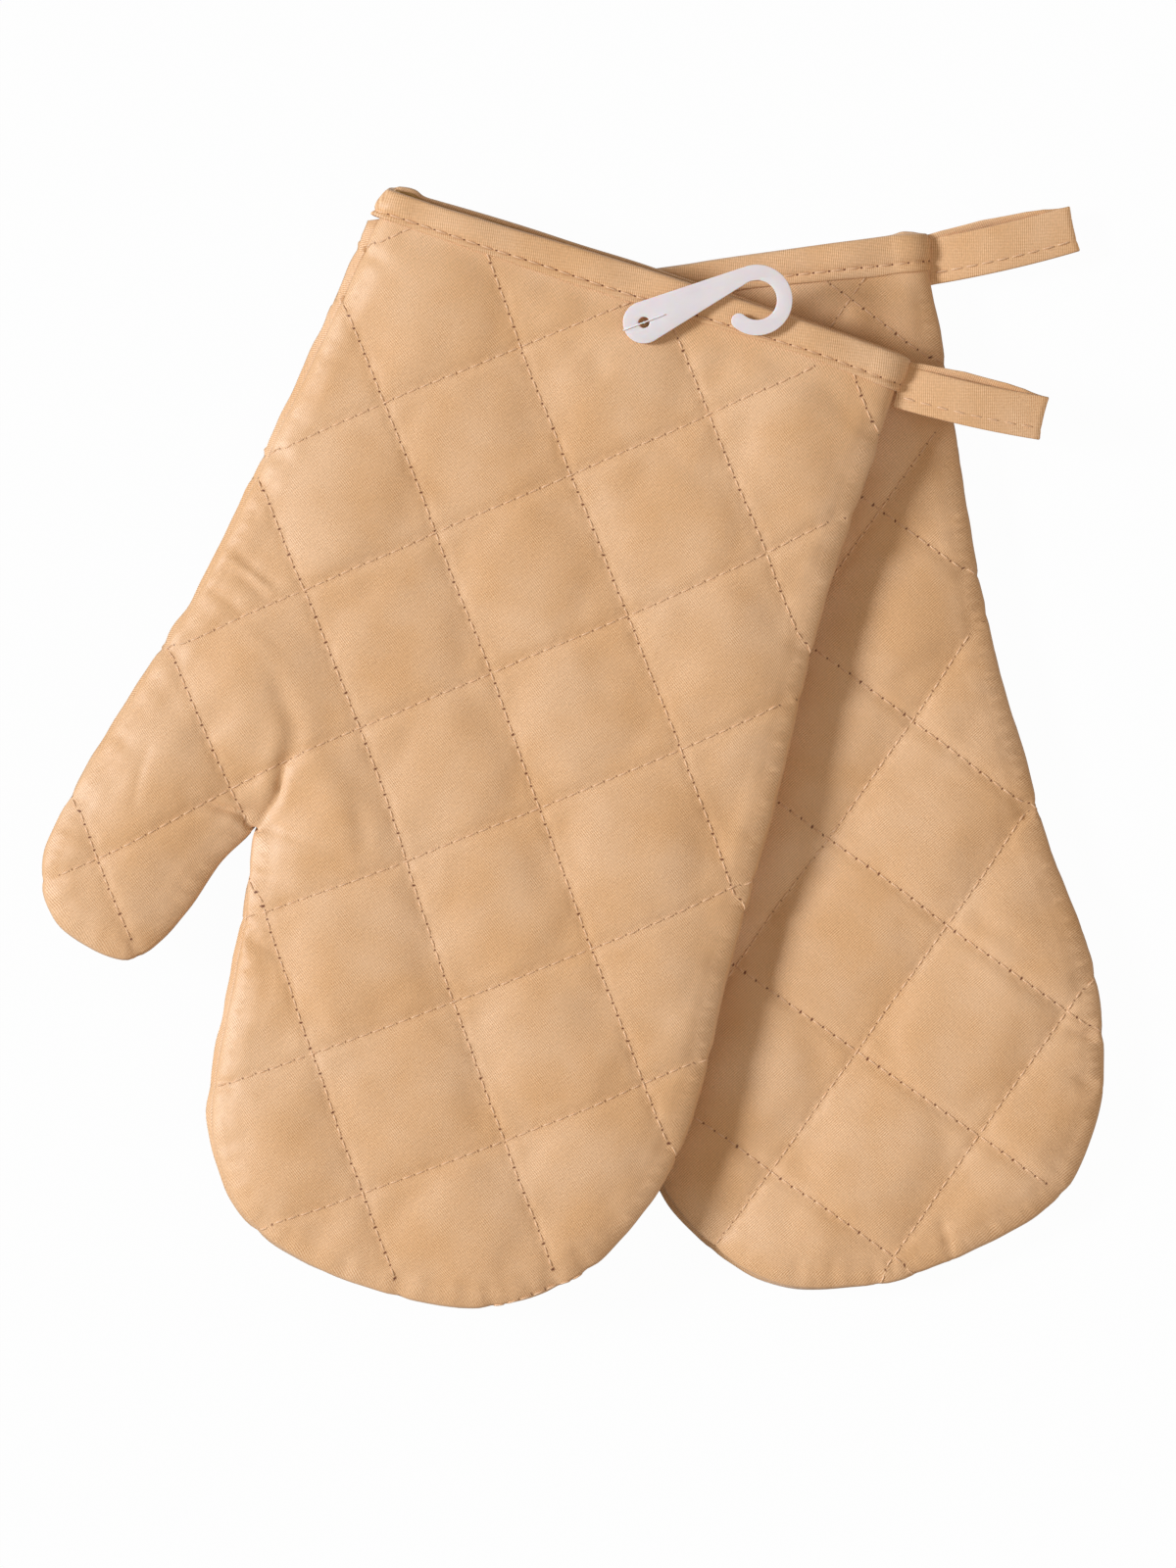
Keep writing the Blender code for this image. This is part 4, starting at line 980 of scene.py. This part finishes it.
# The fold-over tape round the mouth and its stitches. A line of the tape is given by its height above
# the lower fold and how far it stands off the panel: "face" is the outer leaf, "inside" the leaf in the
# mouth with its hidden side, and "under" the outer leaf's hidden side.
binding = {
    "width": cloth["bindingWidth"], "leaf": 0.45, "row": 2.5, "fold": 0.9, "foldOut": 0.94, "points": 420,
    "stitchPitch": 4.2, "stitchLength": 3.4, "grainTurn": 43.5, "slant": 2.1, "slantLength": 5.5,
    "ridge": 0.35, "ridgePlace": 2.1, "puckers": 0.25,
    "face": (
        (0.0, 0.06), (0.05, 0.32), (0.3, 0.52), (0.8, 0.62), (1.4, 0.6), (2.0, 0.5), (2.3, 0.4),
        (2.5, 0.34), (2.7, 0.4), (3.1, 0.56), (3.8, 0.78), (4.9, 0.98), (6.1, 1.06), (7.3, 1.04),
        (8.4, 0.98), (9.3, 0.94),
    ),
    "inside": ((9.0, 0.54), (6.0, 0.51), (3.0, 0.48), (0.3, 0.36), (0.3, 0.1), (5.0, 0.1), (10.0, 0.1)),
    "under": ((10.0, 0.03), (5.0, 0.03), (0.3, 0.03)),
}


def alongTape(mitt, name, xs):
    run = smoothed(np.array(mitt["tape"][name], float), 6)
    return np.interp(xs, run[:, 0], run[:, 1])


# The mouth's edge as a ring across the mitt: over the back's panel to the right and back along the palm's
def mouthRing(mitt, count):
    left, right = -mitt["pinAcross"], mitt["cuff"] - mitt["pinAcross"]
    share = np.linspace(0, 1, count // 2 + 1)
    share = 0.35 * (1 - np.cos(share * math.pi)) / 2 + 0.65 * share  # closer together at both ends
    xs = left + 1.3 + (right - left - 1.8) * share
    gap = np.minimum(xs - left, right - xs)
    depth = panelDepth(gap)
    back = np.column_stack([xs, backLevel(gap) - depth / 2])
    palm = np.column_stack([xs, palmLevel(gap) + depth / 2])
    ring = np.concatenate([back, palm[::-1][1:-1]])
    half = np.concatenate([depth, depth[::-1][1:-1]]) / 2
    onPalm = np.concatenate([np.zeros(len(xs)), np.ones(len(xs) - 2)])
    return ring, half, onPalm, left, right


# The tape as lines along the mouth, each with its lift off the panel's middle, its height in the mitt
# and how far it slants aside
def tapeLines(mitt, ring, half, onPalm, left, right, total):
    seed = mitt["seed"] * 10
    low = alongTape(mitt, "low", ring[:, 0]) + 0.1 * uneven(total, 15.0, seed + 8)
    row = alongTape(mitt, "row", ring[:, 0])
    # the far edge of the mouth peeks out past the near one
    fromEnd = np.minimum(ring[:, 0] - left, right - ring[:, 0])
    near = alongTape(mitt, "near", ring[:, 0])
    far = alongTape(mitt, "far", ring[:, 0])
    top = near + onPalm * (far - near) * np.clip(fromEnd / 3, 0, 1) + 0.08 * uneven(total, 38.0, seed + 7)
    top = top - 0.85 * binding["fold"]
    soft = 1 + 0.3 * uneven(total, 21.0, seed + 9)
    tuck = 0.5 + 0.5 * np.cos(2 * math.pi * total / binding["stitchPitch"])
    # a ridge by the thumb, where the seam's end lies under the tape
    ridge = np.exp(-((ring[:, 0] - left - binding["ridgePlace"]) / 0.4) ** 2) * (1 - onPalm)
    # the thumb's end of the tape slants outwards from its top fold to its lower one
    slant = binding["slant"] * np.exp(-((ring[:, 0] - left) / binding["slantLength"]) ** 2)
    width, leaf, rowUp = binding["width"], binding["leaf"], binding["row"]
    lines = []

    def addLine(lift, up, rise=0.0):
        if up < rowUp:
            high = low + (row - low) * up / rowUp
        else:
            high = row + (top - row) * (up - rowUp) / (width - rowUp)
        lines.append((lift, high + rise, slant * np.clip(1 - up / width, 0, 1)))

    for up, lift in binding["face"]:
        nearRow = math.exp(-((up - rowUp) / 0.5) ** 2)
        swell = leaf * 0.5 + (lift - leaf * 0.5) * soft
        swell = swell - binding["puckers"] * nearRow * tuck - binding["ridge"] * ridge * (lift > 0.3)
        addLine(half + np.maximum(swell, 0.05), up)
    for degrees in (15, 40, 65, 90, 115, 140, 165):
        angle = math.radians(degrees)
        lift = (half + binding["foldOut"]) * math.cos(angle)
        addLine(lift, width, binding["fold"] * (math.sin(angle) - 0.15))
    for up, lift in binding["inside"]:
        addLine(-(half * 0.6 + lift), up)
    for up, lift in binding["under"]:
        addLine(half + lift, up)
    return lines, row, slant


def makeBinding(key, mitt):
    ring, half, onPalm, left, right = mouthRing(mitt, binding["points"])
    count = len(ring)
    outwards = leftOf(ring, ringed=True)
    total = lengthsAlong(ring)
    lines, row, slant = tapeLines(mitt, ring, half, onPalm, left, right, total)
    verts, places, faces = [], [], []
    for lift, high, aside in lines:
        cross = ring + outwards * np.asarray(lift)[:, None]
        verts.append(np.column_stack([cross[:, 0] - aside, high, cross[:, 1]]))
        places.append(np.column_stack([total, high]))
    for r in range(len(lines)):
        following = (r + 1) % len(lines)
        for k in range(count):
            nextK = (k + 1) % count
            faces.append((r * count + k, following * count + k, following * count + nextK, r * count + nextK))
    tape = newPiece(key + "CuffBinding", toPair(mitt, np.concatenate(verts)), faces, "twill")
    turnFacesOut(tape)
    setClothPlace(tape, np.concatenate(places), grainTurn=binding["grainTurn"], mirror=mitt["mirror"])
    # the stitches lie on the line of the face that is their row's
    rowUp = binding["row"]
    heights = [up for up, _ in binding["face"]]
    cross = ring + outwards * (lines[heights.index(rowUp)][0] + 0.1)[:, None]
    cross[:, 0] -= slant * (1 - rowUp / binding["width"])
    run = np.column_stack([cross[:, 0], row, cross[:, 1], outwards[:, 0], outwards[:, 0] * 0, outwards[:, 1]])
    closed = np.concatenate([run, run[:1]])
    run = evenly(closed, binding["stitchPitch"])
    # marks at the needle holes beside each stitch, painted dark brown by the twill as painted shade in the
    # holes
    needle = np.zeros((len(lines), count))
    for hole in run[:-1, :3]:
        spot = ((closed[:-1, :3] - hole) ** 2).sum(1).argmin()
        for number, up in enumerate(heights):
            if abs(up - rowUp) < 0.3:
                needle[number, [spot, (spot - 1) % count, (spot + 1) % count]] = 1.0, 0.5, 0.5
    setNeedles(tape, needle.ravel())
    stitches = stitchRun(toPair(mitt, run[:, :3]), turnOnly(mitt, run[:, 3:]), binding["stitchLength"])
    return tape, joinedRuns(key + "BindingStitches", [stitches])


# A folded tape, doubled into a loop: the front leg bows off the back one, which shows above it
loopTape = {
    "thickness": 1.0, "row": 3.0, "rowDip": 0.22, "sag": 0.6, "bow": 1.9, "curl": 2.6, "stitchPitch": 4.2,
    "stitchLength": 3.4, "grainTurn": 43.5, "flatPoints": 15,
}


# the tape cut across: two flat faces that swell a little, dip at the stitches and turn round at both edges
def loopSection(width, half, rowAt):
    flat = []
    for across in np.linspace(-width / 2 + half, width / 2 - half, loopTape["flatPoints"]):
        swell = half * (1 + 0.15 * math.sin((across / width + 0.5) * math.pi))
        flat.append((across, swell - loopTape["rowDip"] * math.exp(-((across - rowAt) / 0.45) ** 2)))
    section = list(flat)
    for degrees in (60, 30, 0, -30, -60):
        angle = math.radians(degrees)
        section.append((width / 2 - half + half * math.cos(angle), half * math.sin(angle)))
    section += [(across, -lift) for across, lift in flat[::-1]]
    for degrees in (-120, -150, 180, 150, 120):
        angle = math.radians(degrees)
        section.append((-width / 2 + half + half * math.cos(angle), half * math.sin(angle)))
    return np.array(section).T


def makeLoop(key, mitt):
    loop = mitt["loop"]
    length, width, half = loop["length"], loop["width"], loopTape["thickness"] / 2
    bow = loopTape["bow"]
    leg = (
        (-1.0, 0.58), (2.0, 0.62), (6.0, 0.3 + 0.45 * bow), (11.0, 0.85 * bow), (17.0, bow),
        (24.0, 0.85 * bow), (30.0, 0.62 * bow), (length - 3.0, 0.75), (length - 0.9, 0.56),
        (length - 0.35, 0.3), (length - 0.2, 0.0),
    )
    line = np.array(leg + tuple((x, -z) for x, z in leg[::-1][1:]), float)
    line = evenly(smoothed(line, 8), 0.7)
    out = leftOf(line)
    along = lengthsAlong(line)
    share = np.clip(line[:, 0] / length, 0, 1)
    backLeg = np.clip((along / along[-1] - 0.5) * 12, 0, 1)
    lens = np.interp(share, (0, 0.12, 0.4, 0.7, 0.9, 1.0), (0.45, 0.7, 1.0, 0.75, 0.3, 0.0))
    slide = backLeg * loop["skew"] * lens - loopTape["sag"] * 4 * share * (1 - share)
    curl = backLeg * lens * loopTape["curl"]
    drawnIn = 0.45 * np.clip((share - 0.9) * 10, 0, 1)
    rowAt = loopTape["row"] - width / 2
    across, lift = loopSection(width, half, rowAt)
    count = len(across)
    tilt = math.radians(loop["turn"])

    def placed(x, y, z):
        return np.column_stack([
            loop["root"][0] + x * math.cos(tilt) - y * math.sin(tilt),
            loop["root"][1] + x * math.sin(tilt) + y * math.cos(tilt), z + cloth["seamHeight"]])

    high = ((across + width / 2) / width) ** 2
    verts = np.concatenate([
        placed(
            line[k, 0] + out[k, 0] * lift - drawnIn[k] * (1 - (2 * across / width) ** 2),
            across + slide[k] - 0.15 * curl[k] * high, line[k, 1] + out[k, 1] * lift + curl[k] * high)
        for k in range(len(line))])
    places = np.concatenate([np.column_stack([np.full(count, along[k]), across]) for k in range(len(line))])
    faces = [
        (r * count + k, r * count + (k + 1) % count, (r + 1) * count + (k + 1) % count, (r + 1) * count + k)
        for r in range(len(line) - 1) for k in range(count)]
    faces += [list(range(count)), [(len(line) - 1) * count + k for k in range(count)]]
    tape = newPiece(key + "HangingLoop", toPair(mitt, verts), faces, "twill")
    turnFacesOut(tape)
    setClothPlace(tape, places, grainTurn=loopTape["grainTurn"], mirror=mitt["mirror"])
    selectOnly(tape)
    bpy.ops.object.shade_smooth_by_angle(angle=math.radians(50))
    tape.select_set(False)
    runs = []
    middle = len(line) // 2
    for legPart in (slice(2, middle - 2), slice(middle + 3, -2)):
        way, lifted = out[legPart], line[legPart] + out[legPart] * (half - 0.05)
        spots = evenly(np.column_stack([
            lifted[:, 0], slide[legPart] + rowAt, lifted[:, 1], way[:, 0], way[:, 0] * 0, way[:, 1],
        ]), loopTape["stitchPitch"])
        local = toPair(mitt, placed(spots[:, 0], spots[:, 1], spots[:, 2]))
        runs.append(stitchRun(local, turnOnly(mitt, spots[:, 3:]), loopTape["stitchLength"]))
    return tape, joinedRuns(key + "LoopStitches", runs)


# Flat plastic J: an eye, a body that tapers along both circles' tangents, and the bend
hookPlate = {
    "reach": 29.6, "eye": 5.4, "bend": 9.1, "band": 4.0, "hole": 1.43, "thickness": 1.0, "edge": 0.2,
    "tipAngle": -142.0, "turn": 11.2,
}


def arcPoints(centre, radius, start, end, steps):
    angles = np.linspace(start, end, steps + 1)
    return np.stack([centre[0] + radius * np.cos(angles), centre[1] + radius * np.sin(angles)], 1)


def makeHook():
    reach, eye, bend, band = (hookPlate[name] for name in ("reach", "eye", "bend", "band"))
    tipAngle = math.radians(hookPlate["tipAngle"])
    top = math.acos((eye - bend) / reach)
    under = math.acos((eye + bend - band) / reach)
    middle = bend - band / 2
    tip = (reach + middle * math.cos(tipAngle), middle * math.sin(tipAngle))
    outline = np.concatenate([
        arcPoints((reach, 0), bend, top, tipAngle, 56),
        arcPoints(tip, band / 2, tipAngle, tipAngle - math.pi, 20)[1:],
        arcPoints((reach, 0), bend - band, tipAngle, math.pi - under, 44)[1:],
        arcPoints((0, 0), eye, -under, top - 2 * math.pi, 44)[:-1],
    ])
    curve = bpy.data.curves.new("hookPlate", "CURVE")
    curve.dimensions = "2D"
    curve.fill_mode = "BOTH"
    curve.extrude = (hookPlate["thickness"] / 2 - hookPlate["edge"]) * mm
    curve.bevel_depth = hookPlate["edge"] * mm
    curve.bevel_resolution = 3
    curve.offset = -hookPlate["edge"] * mm
    for ring in (outline, arcPoints((0, 0), hookPlate["hole"], 0, 2 * math.pi, 36)[:-1]):
        spline = curve.splines.new("POLY")
        spline.points.add(len(ring) - 1)
        spline.points.foreach_set("co", np.column_stack([ring * mm, ring * 0 + [0, 1]]).ravel())
        spline.use_cyclic_u = True
    obj = addObject("hookPlate", curve)
    obj.location = (pinPlace[0] * mm, pinPlace[1] * mm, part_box("hook")[0].z + hookPlate["thickness"] / 2 * mm)
    obj.rotation_euler = (0, 0, math.radians(hookPlate["turn"]))
    selectOnly(obj)
    bpy.ops.object.convert(target="MESH")
    obj = bpy.context.object
    bpy.ops.object.transform_apply()
    bpy.ops.object.mode_set(mode="EDIT")
    bpy.ops.mesh.select_all(action="SELECT")
    bpy.ops.mesh.remove_doubles(threshold=0.01 * mm)
    bpy.ops.mesh.normals_make_consistent(inside=False)
    bpy.ops.object.mode_set(mode="OBJECT")
    obj.data.materials.clear()
    obj.data.materials.append(finishes["hook"])
    bpy.ops.object.shade_smooth_by_angle(angle=math.radians(40))
    obj.select_set(False)
    return obj


# Tag pin: a thin bar that lies on the hook, a filament down through both cuffs, a paddle underneath
tagPin = {
    "barLength": 11.6, "barRadius": 0.17, "barTurn": 21.0, "filament": 0.3, "paddle": (5.0, 3.0, 0.8),
    "paddleEdge": 0.15,
}


def bevelled(obj, width):
    modifier = obj.modifiers.new("roundEdges", "BEVEL")
    modifier.width = width * mm
    modifier.segments = 3
    bpy.ops.object.modifier_apply(modifier="roundEdges")


def makeTagPin():
    low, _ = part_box("tag_pin")
    x, y = pinPlace[0] * mm, pinPlace[1] * mm
    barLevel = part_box("hook")[1].z + (tagPin["barRadius"] + 0.03) * mm
    paddle = [side * mm for side in tagPin["paddle"]]
    paddleTop = low.z + paddle[2]
    bpy.ops.object.select_all(action="DESELECT")
    bpy.ops.mesh.primitive_cylinder_add(
        vertices=16, radius=tagPin["barRadius"] * mm, depth=tagPin["barLength"] * mm,
        location=(x, y, barLevel), rotation=(0, math.pi / 2, math.radians(tagPin["barTurn"])))
    bar = bpy.context.object
    bevelled(bar, tagPin["barRadius"] * 0.6)
    bpy.ops.mesh.primitive_cylinder_add(
        vertices=12, radius=tagPin["filament"] * mm, depth=barLevel - paddleTop + 0.4 * mm,
        location=(x, y, (barLevel + paddleTop) / 2))
    filament = bpy.context.object
    bpy.ops.mesh.primitive_cube_add(size=1, location=(x, y, paddleTop - paddle[2] / 2), scale=paddle)
    foot = bpy.context.object
    bpy.ops.object.transform_apply(location=False, rotation=False, scale=True)
    bevelled(foot, tagPin["paddleEdge"])
    for part in (bar, filament, foot):
        part.select_set(True)
    bpy.context.view_layer.objects.active = bar
    bpy.ops.object.join()
    bar.name = "tagPin"
    bpy.ops.object.transform_apply()
    bar.data.materials.append(finishes["nylon"])
    bpy.ops.object.shade_smooth_by_angle(angle=math.radians(40))
    bar.select_set(False)
    return bar


def settle(piece, body, slot, *nodes):
    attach(piece, body)
    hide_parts(*nodes)


for key, mitt in mitts.items():
    for side, up in (("Back", 1), ("Palm", -1)):
        node = key + "_" + side.lower()
        sheet, panel = makePanel(key, mitt, side, up)
        settle(panel, mitt["body"], "twill", node + "_outer", node + "_batting")
        lining = makeLining(key, mitt, side, up)
        settle(lining, mitt["body"], "lining", node + "_lining")
        settle(makeQuilting(key, mitt, side, sheet, up), mitt["body"], "thread", node + "_quilting_thread")
    settle(makeSeamStitches(key, mitt), mitt["body"], "thread", key + "_side_seam_thread")
    tape, row = makeBinding(key, mitt)
    settle(tape, mitt["body"], "twill", key + "_cuff_binding")
    settle(row, mitt["body"], "thread", key + "_binding_thread")
    tape, row = makeLoop(key, mitt)
    settle(tape, key + "_loop", "twill", key + "_hanging_loop")
    settle(row, key + "_loop", "thread", key + "_loop_thread")
    print(key, "mitt made")
settle(makeHook(), "hook", "hook_plastic", "hook")
settle(makeTagPin(), "lower_mitt", "clear_nylon", "tag_pin")
print("hook and tag pin made")

# Plain white table; what the camera sees of it is lifted towards white, so its shadow stays faint
table = {"size": 4.0, "below": 0.0003, "colour": "#C4C4C4", "whiten": 0.975}
bpy.ops.mesh.primitive_plane_add(size=table["size"], location=(0, 0, cadBox[0][2] - table["below"]))
floor = bpy.context.object
floor.name = "paleTable"
floorLook, floorShader = newMaterial("paleTable", {
    "Base Color": linearColour(table["colour"]), "Roughness": 0.9, "Specular IOR Level": 0.0})
floorRays = addNode(floorLook, "LightPath")
seenShare = addNode(floorLook, "Math", {"operation": "MULTIPLY"}, {
    0: floorRays.outputs["Is Camera Ray"], 1: table["whiten"]})
white = addNode(floorLook, "Emission", None, {"Color": (1, 1, 1, 1), "Strength": 1.0})
lifted = addNode(floorLook, "MixShader", None, {
    0: seenShare.outputs[0], 1: floorShader.outputs[0], 2: white.outputs[0]})
surface = floorLook.node_tree.nodes["Material Output"].inputs["Surface"]
floorLook.node_tree.links.new(lifted.outputs[0], surface)
floor.data.materials.append(floorLook)
floor.select_set(False)

# A large soft lamp from the left, a weaker one from the lower right, and an even room in a warm tone
lamps = {
    "leftPanel": {
        "from": (-0.99, 0.14, 0.67), "strength": 3.15, "softness": 15.0, "colour": (0.94, 1.0, 1.08)},
    "rightPanel": {
        "from": (0.82, -0.57, 1.2), "strength": 0.56, "softness": 55.0, "colour": (1.0, 0.95, 0.9)},
}
room = {"strength": 0.28, "seenStrength": 1.0, "colour": (1.02, 0.85, 0.64, 1.0)}
for name, lamp in lamps.items():
    lampData = bpy.data.lights.new(name, "SUN")
    lampData.energy = lamp["strength"]
    lampData.angle = math.radians(lamp["softness"])
    lampData.color = lamp["colour"]
    lampObject = addObject(name, lampData)
    lampObject.rotation_euler = Vector(lamp["from"]).to_track_quat("Z", "Y").to_euler()
world = bpy.data.worlds.new("paleRoom")
bpy.context.scene.world = world
world.use_nodes = True
roomRays = addNode(world, "LightPath")
bareRays = addNode(world, "Math", {"operation": "MAXIMUM"}, {
    0: roomRays.outputs["Is Camera Ray"], 1: roomRays.outputs["Is Transmission Ray"]})
roomStrength = addNode(world, "MapRange", None, {
    "Value": bareRays.outputs[0], "To Min": room["strength"], "To Max": room["seenStrength"]})
background = world.node_tree.nodes["Background"]
background.inputs["Color"].default_value = room["colour"]
world.node_tree.links.new(roomStrength.outputs["Result"], background.inputs["Strength"])

# Straight down from far away, as the photo is taken; "height" is how many mm of table the picture shows
view = {"lens": 600.0, "sensor": 36.0, "height": 403.4, "centre": (3.90, -10.28), "nearer": 0.012}
cameraData = bpy.data.cameras.new("overhead")
cameraData.lens = view["lens"]
cameraData.clip_end = 20.0
camera = addObject("overhead", cameraData)
distance = view["height"] * mm * view["lens"] / view["sensor"] + view["nearer"]
camera.location = (view["centre"][0] * mm, view["centre"][1] * mm, distance)
bpy.context.scene.camera = camera
bpy.context.scene.view_settings.view_transform = "Standard"
print("table, lamps and camera set")
